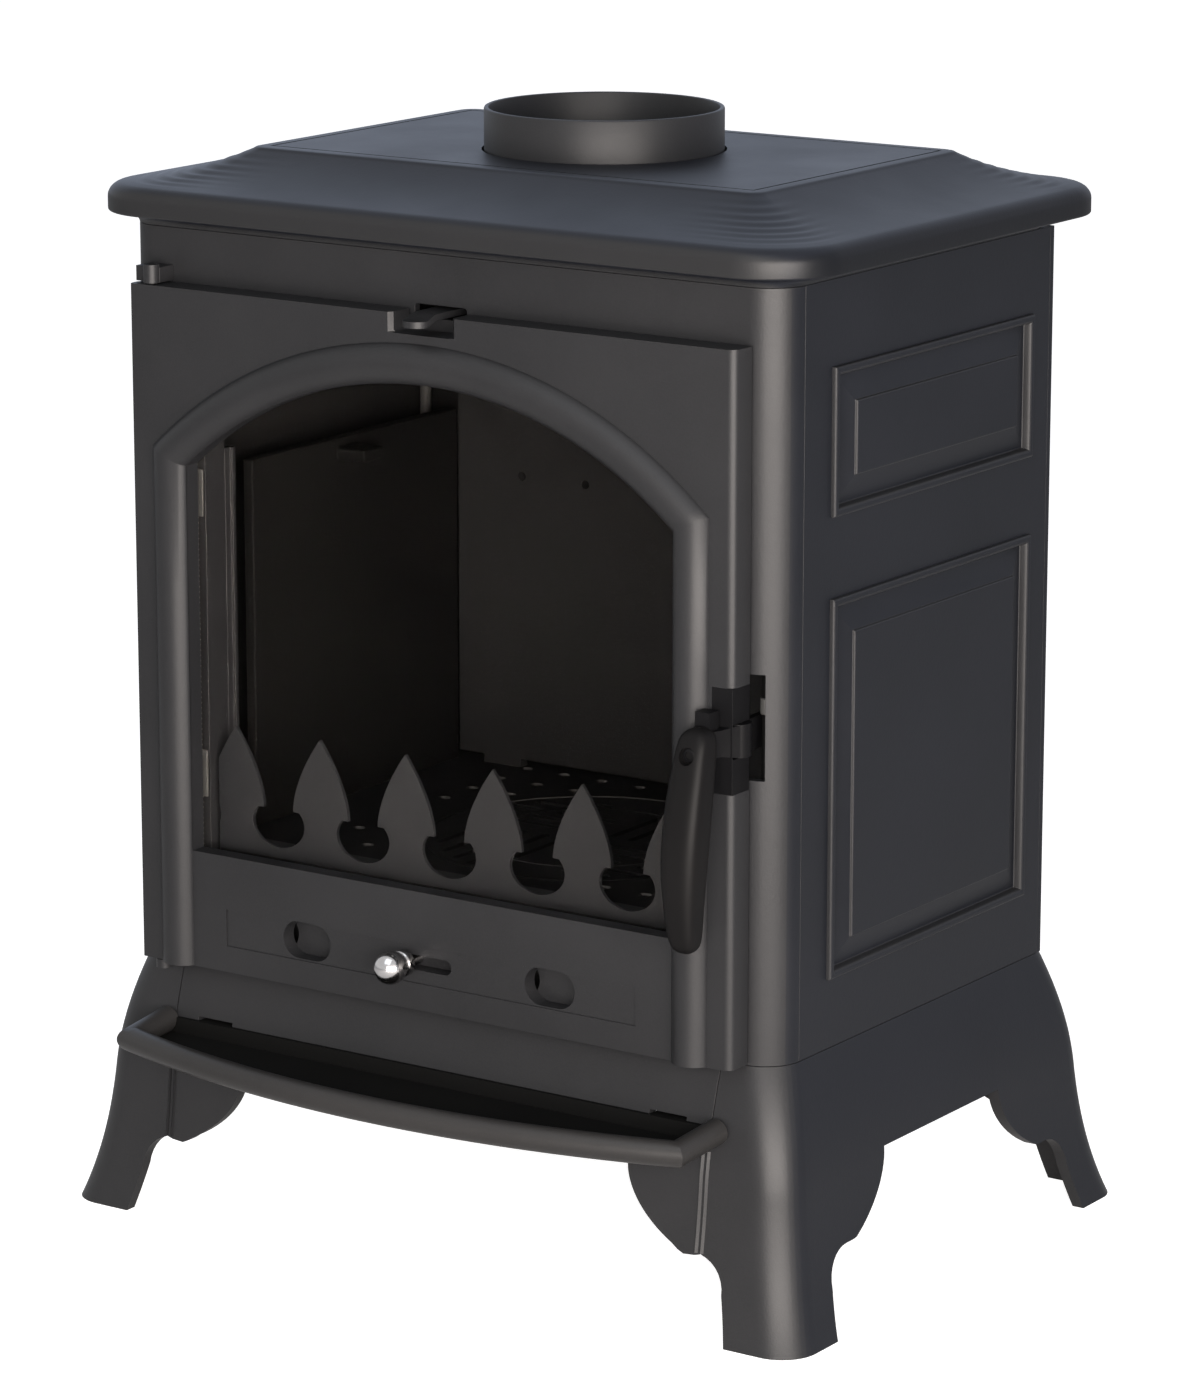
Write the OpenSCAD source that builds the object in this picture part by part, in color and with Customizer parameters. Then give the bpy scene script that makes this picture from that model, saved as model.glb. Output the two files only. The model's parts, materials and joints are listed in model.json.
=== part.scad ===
// Free-standing cast-iron wood stove: four cabriole legs, arched glazed door,
// moulded top plate with a round flue collar, bowed ash shelf.
// Origin: bottom centre of the stove, +Z up, the door faces -Y.
// Inside the modules Y is measured from the outer face of the front panel.

/* [Body] */
// Width of the body across the side panels
body_w = 486; // [440:1:560]
// Depth of the body from front panel to rear panel
body_d = 315; // [290:1:380]
// Height of the body panels
body_h = 468.5; // [440:0.5:540]
// Radius of the two rounded front corners
corner_r = 24; // [16:1:30]
// Thickness of the cast body panels
panel_t = 5; // [4:0.5:7]

/* [Base and legs] */
// Height of the flared base, floor to body
base_h = 166.5; // [150:0.5:200]
// How far each foot flares out past the body
foot_flare = 35.5; // [26:0.5:44]
// How far the base runs on behind the body
base_rear = 14; // [6:1:24]
// Wall of the base castings
base_wall = 8; // [6:0.5:10]
// Height of the straight underside of the skirts
skirt_z = 98; // [92:1:106]
// Width of a foot at the floor
foot_w = 50; // [44:1:58]

/* [Top plate] */
// Overhang of the rim at each side
rim_side = 22; // [16:1:30]
// Overhang of the rim at the front
rim_front = 19; // [14:1:28]
// Overhang of the rim at the rear
rim_rear = 41; // [30:1:48]
// Plan radius of the rim's corners
rim_corner_r = 47; // [36:1:54]
// Height of the upright face of the rim
rim_h = 18; // [14:0.5:22]
// Rise from the rim's edge to the raised panel
slope_h = 20; // [14:0.5:28]
// Run of the concave slope at front and sides
slope_run = 76; // [60:1:84]

/* [Flue] */
// Outside diameter of the flue collar
collar_d = 150; // [120:1:160]
// Wall of the flue collar
collar_wall = 3; // [2.5:0.5:5]
// Height of the collar above the top plate
collar_h = 26.5; // [20:0.5:50]

/* [Door] */
// Distance from the side of the body to the door's edge
door_inset = 20; // [18:1:34]
// Height of the front panel above the door
head_h = 34; // [32:0.5:50]
// Thickness of the door casting
door_t = 18.5; // [16:0.5:20]
// Gap between door and front panel
door_gap = 2; // [1.5:0.1:3]
// Outer radius of the arched moulding
arch_r = 299; // [270:1:340]
// Distance from the door's edge to the moulding's jambs
jamb_inset = 17; // [17:1:30]
// Width of the half-round moulding
mould_w = 25; // [18:1:28]
// Distance from the door's top to the arch's crown
crown_drop = 17.5; // [14:0.5:34]
// Height of the plate below the window
sill_h = 75.5; // [70:0.5:95]
// Largest opening angle of the door
door_swing = 110; // [60:1:115]

/* [Air controls] */
// Length of each air hole in the door
air_hole_l = 37; // [28:1:44]
// Height of each air hole in the door
air_hole_h = 24; // [16:1:26]
// Distance of the air holes from the middle
air_hole_x = 92; // [80:1:110]
// Travel of the lower air slide
slide_travel = 28; // [14:1:30]
// Diameter of the chromed knob
knob_d = 21; // [14:0.5:24]
// Travel of the upper air lever to each side
lever_travel = 10; // [5:0.5:12]
// Width of the upper air lever
lever_w = 17; // [10:0.5:20]

/* [Handle] */
// Height of the latch's middle above the door's bottom
latch_rise = 201; // [170:0.5:260]
// Length of the grip
grip_l = 134; // [100:1:150]
// Width of the grip
grip_w = 26; // [18:1:30]

/* [Firebox] */
// Height of the firebox floor above the base
hearth_rise = 73.5; // [70:0.5:76]
// Thickness of the iron liners
liner_t = 8; // [6:0.5:12]
// Number of spears on the log guard
spear_n = 6; // [4:1:8]
// Distance between spears
spear_pitch = 66; // [50:1:66]
// Height of the log guard
guard_h = 81; // [70:1:100]
// Radius of the round grate
grate_r = 72; // [60:1:80]
// Air gap between the ash pan and the firebox floor
pan_gap = 4; // [3:0.5:12]

/* [Ash shelf] */
// Reach of the shelf in front of the body
shelf_reach = 94; // [70:1:110]
// Distance from the side of the body in to the shelf's rolled end
shelf_inset = 34; // [29:1:60]
// Diameter of the rolled rim
shelf_rim_d = 16; // [12:0.5:20]
// Distance from the top of the base down to the rim's middle
shelf_drop = 43.5; // [42:0.5:54]

/* [Hidden] */

iron = [0.23, 0.23, 0.24];
iron_blue = [0.33, 0.35, 0.38];
iron_dark = [0.13, 0.13, 0.13];
steel = [0.62, 0.62, 0.60];
rope = [0.55, 0.53, 0.48];
eps = 0.01;          // overshoot of a cut past the face it opens
fit = 0.3;           // gap between pieces that lie beside each other
run = 0.05;          // radial clearance of a pin that turns in its bore
round_steps = 6;     // facets in a quarter turn of a lofted corner

half_w = body_w / 2;
body_top = base_h + body_h;
door_w = body_w - 2 * door_inset;
door_z0 = base_h + 1.5;
door_z1 = body_top - head_h;
door_h = door_z1 - door_z0;
arch_half_w = door_w / 2 - jamb_inset;
crown_z = door_z1 - crown_drop;
sill_z = door_z0 + sill_h;
latch_z = door_z0 + latch_rise;
hearth_z = base_h + hearth_rise;
shelf_z = base_h - shelf_drop;
shelf_half_w = half_w - shelf_inset;
base_back = body_d + base_rear;
foot_half = half_w + foot_flare;
front_reach = shelf_reach;
rear_reach = max(base_back + foot_flare, body_d + rim_rear);
panel_y = (front_reach - rear_reach) / 2;

// ---------- helpers ----------

module from_panel() { translate([0, panel_y, 0]) children(); }

module box(lo, hi) { translate(lo) cube(hi - lo); }

module both_sides() { children(); mirror([1, 0, 0]) children(); }

module rod_x(r, x0, x1, y, z) {
    translate([x0, y, z]) rotate([0, 90, 0]) cylinder(r = r, h = x1 - x0, $fn = 32);
}

module rod_y(r, y0, y1, x, z) {
    translate([x, y1, z]) rotate([90, 0, 0]) cylinder(r = r, h = y1 - y0, $fn = 32);
}

module rod_z(r, z0, z1, x, y) {
    translate([x, y, z0]) cylinder(r = r, h = z1 - z0, $fn = 48);
}

function arc(c, r, a0, a1, n) =
    [for (i = [0 : n]) let (a = a0 + (a1 - a0) * i / n) c + r * [cos(a), sin(a)]];

// A rounded rectangle at height z, as points that turn counter-clockwise
function ring(hx, y0, y1, r, z) = [
    for (q = [0 : 3]) for (i = [0 : round_steps])
        let (a = -90 + 90 * q + 90 * i / round_steps,
             cx = (q == 0 || q == 1) ? hx - r : r - hx,
             cy = (q == 0 || q == 3) ? y0 + r : y1 - r)
        [cx + r * cos(a), cy + r * sin(a), z]];

// Skin through a stack of rings, closed at both ends
module loft(rings) {
    n = len(rings[0]);
    m = len(rings);
    points = [for (s = rings) each s];
    sides = [for (s = [0 : m - 2]) for (i = [0 : n - 1])
        let (a = s * n + i, b = s * n + (i + 1) % n) each [[a, b + n, b], [a, a + n, b + n]]];
    ends = [[for (i = [0 : n - 1]) i], [for (i = [n - 1 : -1 : 0]) (m - 1) * n + i]];
    polyhedron(points, concat(sides, ends), convexity = 8);
}

// Smooth rise from v0 to v1 over a length l, with the slopes s0 and s1 at its ends
function ease(t, l, v0, s0, v1, s1) =
    (2 * pow(t, 3) - 3 * t * t + 1) * v0 + (pow(t, 3) - 2 * t * t + t) * l * s0 +
    (3 * t * t - 2 * pow(t, 3)) * v1 + (pow(t, 3) - t * t) * l * s1;

// ---------- base and legs ----------

waist_z = base_h * 0.54;
waist_e = foot_flare * 0.507;
// Outward flare of the base at height z: full at the floor, easing to the body
function flare(z) = z > waist_z
    ? ease((base_h - z) / (base_h - waist_z), base_h - waist_z, 0, 0.36, waist_e, 0.085)
    : ease((waist_z - z) / waist_z, waist_z, waist_e, 0.085, foot_flare, 0.35);
function base_ring(z, inset) =
    ring(half_w + flare(z) - inset, inset - flare(z), base_back + flare(z) - inset,
         corner_r - inset, z);
base_levels = 14;
seam_x = half_w - 39;

cusp_r = 22;
cusp_z = 51.5;
lobe_d = foot_w + 81;
// Gap under a skirt, seen square on, for a face that is l long between foot tips
function half_gap() = concat(
    [[foot_w, -1], [foot_w + 7, cusp_z - cusp_r]],
    arc([foot_w + 7 + cusp_r, cusp_z - cusp_r], cusp_r, 180, 90, 8),
    [[foot_w + 37, cusp_z - 1.5]],
    [for (i = [1 : 8]) let (t = i / 8)
        [foot_w + 37 + (lobe_d - foot_w - 37) * sin(90 * t) * 0.94 + (lobe_d - foot_w - 37) * 0.06 * t,
         cusp_z - 1.5 + (skirt_z - cusp_z + 1.5) * (0.62 * t + 0.38 * (1 - cos(90 * t)))]]);
module gap_outline(l) {
    left = half_gap();
    right = [for (i = [len(left) - 1 : -1 : 0]) [l - left[i][0], left[i][1]]];
    polygon(concat(left, right));
}

module base_solid() {
    loft([for (i = [0 : base_levels]) base_ring(base_h * i / base_levels, 0)]);
}
module base_shell() {
    difference() {
        base_solid();
        loft([for (i = [0 : base_levels])
            base_ring(base_h * i / base_levels + (i == 0 ? -eps : i == base_levels ? eps : 0),
                      base_wall)]);
        translate([-foot_half, base_back + 2 * foot_flare, 0]) rotate([90, 0, 0])
            linear_extrude(base_back + 4 * foot_flare) gap_outline(2 * foot_half);
        translate([-foot_half - 1, -foot_flare, 0]) rotate([90, 0, 90])
            linear_extrude(2 * foot_half + 2) gap_outline(base_back + 2 * foot_flare);
    }
}

lug_z = base_h - 36;
lug_y = 7;
lug_h = 30;
cleat_h = 10;
cleat_w = 14;
cleat_l = 30;
bolt_r = 4;
floor_t = 6;
// Ear behind a seam, where a bolt joins the skirt to the side casting
module seam_lug(x0, x1) {
    for (y = [[-foot_flare, lug_y + 7], [base_back - lug_y - 7, base_back + foot_flare]])
        difference() {
            intersection() {
                box([x0, y[0], lug_z - lug_h / 2], [x1, y[1], lug_z + lug_h / 2]);
                base_solid();
            }
            for (b = [lug_y, base_back - lug_y]) rod_x(bolt_r + 0.2, x0 - 1, x1 + 1, b, lug_z);
        }
}

module base_side() {
    intersection() {
        base_shell();
        box([seam_x + fit / 2, -2 * foot_flare, -1],
            [2 * foot_half, base_back + 2 * foot_flare, base_h + 1]);
    }
    seam_lug(seam_x + fit / 2, seam_x + base_wall);
    for (y = [0.3, 0.7] * base_back)
        box([half_w - base_wall - cleat_w, y, base_h - floor_t - cleat_h],
            [half_w - base_wall / 2, y + cleat_l, base_h - floor_t]);
}
module base_side_right() { color(iron_blue) from_panel() base_side(); }
module base_side_left() {
    color(iron_blue) from_panel() difference() {
        mirror([1, 0, 0]) base_side();
        hinge_lug_slot();
    }
}
// Slot through the base's front wall, where the lower hinge plate sits
module hinge_lug_slot() {
    box([hinge_x - bracket_r - fit, -foot_flare, lug_top - lug_t],
        [hinge_x + bracket_r + fit, base_wall + 1, lug_top + fit]);
}

// Front or rear skirt, with the lower lobes that meet the legs
module skirt(y0, y1) {
    intersection() {
        base_shell();
        box([-seam_x + fit / 2, y0, -1], [seam_x - fit / 2, y1, base_h + 1]);
    }
}
module skirt_lugs(front) {
    both_sides() intersection() {
        seam_lug(seam_x - base_wall, seam_x - fit / 2);
        box([0, front ? -foot_flare : body_d / 2, 0],
            [half_w, front ? body_d / 2 : base_back, base_h]);
    }
}
module base_front() {
    color(iron) from_panel() difference() {
        union() { skirt(-2 * foot_flare, body_d / 3); skirt_lugs(true); }
        both_sides() box([hook_x0 - 1, -2 * foot_flare, hook_z - hook_t / 2],
            [hook_x1 + 1, base_wall, hook_z + hook_t / 2 + hook_play]);
        hinge_lug_slot();
    }
}
module base_rear() {
    color(iron) from_panel() { skirt(body_d * 2 / 3, base_back + 2 * foot_flare); skirt_lugs(false); }
}

module base_bolts() {
    color(steel) from_panel() both_sides()
        for (y = [lug_y, base_back - lug_y]) {
            rod_x(bolt_r, seam_x - base_wall - 9, seam_x + base_wall + 3, y, lug_z);
            for (x = [[seam_x - base_wall - 6, seam_x - base_wall],
                      [seam_x + base_wall, seam_x + base_wall + 5]])
                translate([x[0], y, lug_z]) rotate([0, 90, 0])
                    cylinder(r = 1.7 * bolt_r, h = x[1] - x[0], $fn = 6);
        }
}

rod_r = 4;
rod_x0 = half_w - panel_t - 8;
rod_y0 = corner_r + 6;
rod_y1 = body_d - 15;
module bottom_plate() {
    color(iron_dark) from_panel() difference() {
        translate([0, 0, base_h - floor_t]) linear_extrude(floor_t)
            rounded_slab(half_w - base_wall - 0.5, base_wall + 0.5, base_back - base_wall - 0.5,
                         corner_r - base_wall);
        both_sides() for (y = [rod_y0, rod_y1]) rod_z(rod_r + 0.2, base_h - 20, base_h + 1, rod_x0, y);
    }
}

module rounded_slab(hx, y0, y1, r) {
    for (x = [r - hx, hx - r]) for (y = [y0 + r, y1 - r]) translate([x, y]) circle(r, $fn = 48);
    translate([-hx, y0 + r]) square([2 * hx, y1 - y0 - 2 * r]);
    translate([r - hx, y0]) square([2 * (hx - r), y1 - y0]);
}

// ---------- body panels ----------

door_rear = -door_gap;
door_front = -door_gap - door_t;
open_half = arch_half_w - mould_w + 1;
open_z0 = door_z0 + 14;
open_z1 = crown_z - 11.5;
open_r = 14;
flange_t = 4;
flange_depth = 20;
lever_z = door_z1 - 1;
lever_t = 4;
slot_clear = 0.6;
latch_slot_h = 64;

hinge_x = -(door_w / 2 - 13.5);
bracket_r = 5.2;
hinge_y = door_front + bracket_r;
latch_x = door_w / 2 - 3.5;
latch_y = door_rear - 7;
slot_lift = 5;

module opening_slab(grow) {
    translate([0, open_z0 - grow])
        rounded_slab(open_half + grow, 0, open_z1 - open_z0 + 2 * grow, open_r + grow);
}

module front_panel() {
    color(iron) from_panel() difference() {
        union() {
            translate([0, 0, base_h]) linear_extrude(body_h) difference() {
                union() {
                    both_sides() translate([half_w - corner_r, corner_r]) circle(corner_r, $fn = 96);
                    translate([corner_r - half_w, 0]) square([2 * (half_w - corner_r), corner_r]);
                }
                both_sides() translate([half_w - corner_r, corner_r])
                    circle(corner_r - panel_t, $fn = 96);
                translate([corner_r - half_w, panel_t]) square([2 * (half_w - corner_r), corner_r]);
                translate([-half_w - 1, corner_r]) square([2 * half_w + 2, 2 * corner_r]);
            }
            translate([0, flange_depth, 0]) rotate([90, 0, 0])
                linear_extrude(flange_depth - eps) opening_slab(flange_t);
        }
        translate([0, flange_depth + 1, 0]) rotate([90, 0, 0])
            linear_extrude(flange_depth + 2) opening_slab(0);
        box([-lever_w / 2 - lever_travel - slot_clear, -1, lever_z - lever_t / 2 - 2],
            [lever_w / 2 + lever_travel + slot_clear, panel_t + 1, lever_z + lever_t / 2 + 2]);
        box([latch_x - 20.5, -1, latch_z + slot_lift - latch_slot_h / 2],
            [latch_x + 11, corner_r - 8, latch_z + slot_lift + latch_slot_h / 2]);
    }
}

bead_r = 3;
field_h = 4;
frame_margin = 27;
bevel_w = 18;
// Half-round bead frame around a bevelled, raised field
module side_moulding(y0, y1, z0, z1) {
    for (z = [z0 + bead_r, z1 - bead_r])
        rod_y(bead_r, y0 + bead_r, y1 - bead_r, 0, z);
    for (y = [y0 + bead_r, y1 - bead_r]) {
        rod_z(bead_r, z0 + bead_r, z1 - bead_r, 0, y);
        for (z = [z0 + bead_r, z1 - bead_r]) translate([0, y, z]) sphere(bead_r, $fn = 32);
    }
    b = 2 * bead_r;
    field = [for (s = [[b, 0], [b + bevel_w, field_h]]) s];
    points = [for (s = field) each [
        [s[1], y0 + s[0], z0 + s[0]], [s[1], y1 - s[0], z0 + s[0]],
        [s[1], y1 - s[0], z1 - s[0]], [s[1], y0 + s[0], z1 - s[0]]]];
    foot = [for (i = [0 : 3]) [-1, points[i][1], points[i][2]]];
    polyhedron(concat(foot, points), [[0, 1, 2, 3], [11, 10, 9, 8],
        for (k = [0, 4]) for (i = [0 : 3]) each [
            [k + i, k + i + 4, k + (i + 1) % 4 + 4], [k + i, k + (i + 1) % 4 + 4, k + (i + 1) % 4]]]);
}
upper_frame_h = 90;
upper_frame_drop = 142;
upper_frame_z = body_top - upper_frame_drop;
lower_frame_z = base_h + 43.5;
lower_frame_h = upper_frame_z - 49 - lower_frame_z;
module side_panel() {
    y0 = corner_r + frame_margin + 3;
    y1 = body_d - frame_margin;
    box([half_w - panel_t, corner_r, base_h], [half_w, body_d - panel_t, body_top]);
    translate([half_w, 0, 0]) {
        side_moulding(y0, y1, upper_frame_z, upper_frame_z + upper_frame_h);
        side_moulding(y0, y1, lower_frame_z, lower_frame_z + lower_frame_h);
    }
}
module side_panel_right() { color(iron_blue) from_panel() side_panel(); }
module side_panel_left() { color(iron_blue) from_panel() mirror([1, 0, 0]) side_panel(); }

module rear_panel() {
    color(iron) from_panel() difference() {
        box([-half_w, body_d - panel_t, base_h], [half_w, body_d, body_top]);
        translate([0, body_d + 1, 0]) rotate([90, 0, 0]) linear_extrude(2.5)
            translate([0, base_h + 36]) rounded_slab(half_w - 36, 0, body_h - 72, 12);
    }
}

boss_r = 9;
module tie_rods() {
    color(steel) from_panel() both_sides() for (y = [rod_y0, rod_y1]) {
        rod_z(rod_r, base_h - floor_t - 12, body_top + 11, rod_x0, y);
        translate([rod_x0, y, base_h - floor_t - 7]) cylinder(r = 1.7 * rod_r, h = 7, $fn = 6);
    }
}

// ---------- top plate and flue ----------

rim_z = body_top + 7;
plate_top = rim_z + rim_h + slope_h;
nose_r = 9;
neck_h = rim_z - body_top;
edge_drop = 1.2;
plate_r = 10;
plate_t = 6;
flue_y = body_d * 0.555;
// Ring of the plate that lies u inside the rim; the corner tightens as it goes in
function plate_ring(u, z) =
    let (k = min(1, max(0, u / slope_run)))
    ring(half_w + rim_side - u, -rim_front + u * 75 / 76,
         body_d + rim_rear - u * 63 / 76, rim_corner_r + (plate_r - rim_corner_r) * k, z);
function neck_ring(k, z) =
    ring(half_w + (rim_side - 2) * k, -(rim_front - 2) * k, body_d + (rim_rear - 2) * k,
         corner_r + (rim_corner_r - 2 - corner_r) * k, z);
nose_z = rim_z + rim_h - nose_r;
slope_z0 = nose_z + nose_r;
function slope_z(t) = ease(t, slope_run - nose_r, slope_z0, 0.16, plate_top - edge_drop, 0.5);

module top_plate() {
    inner = half_w - 7;
    color(iron_blue) from_panel() difference() {
        union() {
            difference() {
                loft(concat(
                    [neck_ring(0, body_top), neck_ring(0.06, body_top + neck_h * 0.4),
                     neck_ring(0.26, body_top + neck_h * 0.8), neck_ring(0.94, rim_z - 0.4),
                     plate_ring(0.3, rim_z + 0.4), plate_ring(0, rim_z + 1.5)],
                    [for (i = [0 : 5]) plate_ring(nose_r * (1 - cos(15 * i)), nose_z + nose_r * sin(15 * i))],
                    [for (i = [0 : 10]) let (t = i / 10)
                        plate_ring(nose_r + (slope_run - nose_r) * t, slope_z(t))],
                    [plate_ring(slope_run + 1.2, plate_top - 0.2), plate_ring(slope_run + 2.6, plate_top)]));
                loft([ring(inner, 7, body_d - 7, 18, body_top - 1),
                      ring(inner, 7, body_d - 7, 18, rim_z + 4),
                      ring(half_w + rim_side - slope_run - 4, slope_run - rim_front + 4,
                           body_d + rim_rear - slope_run * 63 / 76 - 4, 8, plate_top - plate_t),
                      ring(half_w + rim_side - slope_run - 4, slope_run - rim_front + 4,
                           body_d + rim_rear - slope_run * 63 / 76 - 4, 8, plate_top - plate_t + eps)]);
            }
            both_sides() for (y = [rod_y0, rod_y1])
                rod_z(boss_r, body_top, rim_z + 10, rod_x0, y);
        }
        both_sides() for (y = [rod_y0, rod_y1])
            rod_z(rod_r + run, body_top - 1, body_top + 11.3, rod_x0, y);
        rod_z(collar_d / 2 + 1.5, body_top, plate_top + 1, 0, flue_y);
        for (a = [30, 150, 270]) translate([0, flue_y, 0]) rotate(a)
            rod_z(collar_bolt_r + 0.1, body_top, plate_top - 2.5, collar_bolt_x, 0);
        panel_groove();
    }
}

groove_w = 1.6;
groove_in = 9.5;
module panel_groove() {
    hx = half_w + rim_side - slope_run - groove_in;
    y0 = slope_run * 75 / 76 - rim_front + groove_in + 2;
    y1 = body_d + rim_rear - slope_run * 63 / 76 - groove_in;
    difference() {
        box([-hx, y0, plate_top - 1], [hx, y1, plate_top + 1]);
        box([groove_w - hx, y0 + groove_w, plate_top - 2], [hx - groove_w, y1 - groove_w, plate_top + 2]);
    }
}

flange_r = collar_d / 2 + 16;
collar_bolt_r = 3;
collar_bolt_x = collar_d / 2 + 9;
module flue_collar() {
    z0 = plate_top - plate_t;
    color(iron) from_panel() translate([0, flue_y, 0]) difference() {
        union() {
            rod_z(collar_d / 2, z0 - 6, plate_top + collar_h, 0, 0);
            rod_z(flange_r, z0 - 6, z0, 0, 0);
        }
        rod_z(collar_d / 2 - collar_wall, z0 - 7, plate_top + collar_h + 1, 0, 0);
        for (a = [30, 150, 270]) rotate(a) rod_z(collar_bolt_r + 0.1, z0 - 7, z0 + 1, collar_bolt_x, 0);
    }
}
module collar_bolts() {
    z0 = plate_top - plate_t;
    color(steel) from_panel() translate([0, flue_y, 0]) for (a = [30, 150, 270]) rotate(a)
        translate([collar_bolt_x, 0, 0]) {
            rod_z(collar_bolt_r, z0 - 8, z0 + 3, 0, 0);
            translate([0, 0, z0 - 10]) cylinder(r = 1.8 * collar_bolt_r, h = 4, $fn = 6);
        }
}

// ---------- firebox ----------

hearth_t = 8;
liner_x = open_half + 10;
liner_front = 61;
rear_space = 31;
liner_back = body_d - rear_space;
baffle_drop = 79;
baffle_z = body_top - baffle_drop;
liner_drop = 76;
side_liner_h = baffle_z - liner_drop - hearth_z;
throat = 34;
baffle_y0 = liner_front + throat;
lip_t = 6;
grate_y = 148;
tunnel_half = 150;
tongue_half = open_half - 3;

module firebox_floor() {
    color(iron_dark) from_panel() difference() {
        union() {
            box([-liner_x - 30, flange_depth + fit, hearth_z - hearth_t],
                [liner_x + 30, body_d - 15, hearth_z]);
            box([-tongue_half, 4, hearth_z - hearth_t], [tongue_half, flange_depth + 5, hearth_z]);
            both_sides() box([tunnel_half, flange_depth + fit, base_h],
                [tunnel_half + 5, body_d - 15, hearth_z - 1]);
            box([-tunnel_half - 1, flange_depth + fit, open_z0 - flange_t],
                [tunnel_half + 1, body_d - 15, open_z0]);
        }
        rod_z(grate_r - 6, hearth_z - hearth_t - 1, hearth_z + 1, 0, grate_y);
        rod_z(grate_r + 0.6, hearth_z - hearth_t / 2, hearth_z + 1, 0, grate_y);
        for (x = [-3 : 3]) for (y = [[grate_y + grate_r + 16, 0], [grate_y - grate_r - 16, 0]])
            rod_z(5, hearth_z - hearth_t - 1, hearth_z + 1, x * 40, y[0]);
        both_sides() for (y = [-1, 0, 1])
            rod_z(5, hearth_z - hearth_t - 1, hearth_z + 1, grate_r + 34, grate_y + 44 * y);
    }
}

module round_grate() {
    color(iron_dark) from_panel() translate([0, grate_y, hearth_z - hearth_t / 2]) difference() {
        rod_z(grate_r, 0, hearth_t / 2, 0, 0);
        for (q = [0 : 3]) rotate(90 * q) for (i = [0 : 3]) {
            l = grate_r - 20 - 9 * i;
            box([8 + 13 * i, 8, -1], [14 + 13 * i, 8 + l, hearth_t]);
        }
    }
}

hook_tab_y = 150;
hook_tab_w = 22;
liner_rib = 3;
module side_liner() {
    top = hearth_z + side_liner_h;
    box([liner_x, liner_front, hearth_z], [liner_x + liner_t, liner_back - fit, top]);
    box([liner_x - liner_rib, hook_tab_y, top - 14], [liner_x + 1, hook_tab_y + hook_tab_w, top - 6]);
    box([liner_x + liner_t - 1, hook_tab_y, top - 16], [half_w - panel_t, hook_tab_y + hook_tab_w, top - 10]);
}
module liner_right() { color(iron_dark) from_panel() side_liner(); }
module liner_left() { color(iron_dark) from_panel() mirror([1, 0, 0]) side_liner(); }

liner_foot_w = 30;
liner_foot_x = 20;
module liner_rear() {
    hx = liner_x - fit;
    color(iron_dark) from_panel() difference() {
        union() {
            box([-hx, liner_back, hearth_z + 6], [hx, liner_back + liner_t, baffle_z - fit]);
            both_sides() box([hx - liner_foot_x - liner_foot_w, liner_back, hearth_z],
                [hx - liner_foot_x, liner_back + liner_t, hearth_z + 7]);
        }
        both_sides() for (k = [0.464, 0.729])
            rod_y(3, liner_back - 1, liner_back + liner_t + 1, k * liner_x,
                  hearth_z + 0.63 * (baffle_z - hearth_z));
    }
}

rail_w = 12;
baffle_lip = 16;
module baffle_rails() {
    color(iron_dark) from_panel() both_sides()
        box([half_w - panel_t - rail_w, baffle_y0, baffle_z - 8],
            [half_w - panel_t, liner_back + liner_t, baffle_z]);
}
module baffle() {
    color(iron_dark) from_panel() {
        box([-(half_w - panel_t - 1), baffle_y0, baffle_z],
            [half_w - panel_t - 1, liner_back + liner_t, baffle_z + lip_t]);
        box([-(half_w - panel_t - rail_w - 1), baffle_y0, baffle_z - baffle_lip],
            [half_w - panel_t - rail_w - 1, baffle_y0 + lip_t, baffle_z + 1]);
    }
}

guard_y = 5;
guard_t = 5;
spear_half = 21.5;
hole_z = 18;
hole_half = 18.5;
// One spear of the log guard, seen square on, standing on z = 0
function spear(h) = concat(
    [[-spear_pitch / 2 - eps, 0], [spear_pitch / 2 + eps, 0], [spear_pitch / 2 + eps, 5]],
    [for (a = [-90 : 20 : 50]) [spear_pitch / 2 - hole_half * cos(a), hole_z + 12 * sin(a)]],
    [for (i = [0 : 8]) let (t = i / 8)
        [spear_half * (1 - pow(t, 1.7)), hole_z + 14 + (h - hole_z - 14) * t]],
    [for (i = [7 : -1 : 0]) let (t = i / 8)
        [-spear_half * (1 - pow(t, 1.7)), hole_z + 14 + (h - hole_z - 14) * t]],
    [for (a = [50 : -20 : -90]) [hole_half * cos(a) - spear_pitch / 2, hole_z + 12 * sin(a)]],
    [[-spear_pitch / 2 - eps, 5]]);
module log_guard() {
    guard_half = min(tongue_half, spear_n * spear_pitch / 2 - hole_half + 3);
    color(iron) from_panel() {
        intersection() {
            translate([0, guard_y + guard_t, hearth_z]) rotate([90, 0, 0]) linear_extrude(guard_t)
                for (i = [0 : spear_n - 1]) translate([(i - (spear_n - 1) / 2) * spear_pitch, 0])
                    polygon(spear(guard_h));
            box([-guard_half, 0, 0], [guard_half, guard_y + 2 * guard_t, body_top]);
        }
        box([-guard_half, guard_y, hearth_z], [guard_half, guard_y + 22, hearth_z + 4]);
    }
}

pan_half = tunnel_half - 4;
pan_y0 = 12;
pan_y1 = body_d - 45;
pan_wall = 2;
pan_h = hearth_z - hearth_t - pan_gap - open_z0;
module ash_pan() {
    z0 = open_z0;
    color(iron_dark) from_panel() difference() {
        box([-pan_half, pan_y0, z0], [pan_half, pan_y1, z0 + pan_h]);
        box([pan_wall - pan_half, pan_y0 + pan_wall, z0 + pan_wall],
            [pan_half - pan_wall, pan_y1 - pan_wall, z0 + pan_h + 1]);
    }
}

// ---------- ash shelf ----------

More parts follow.
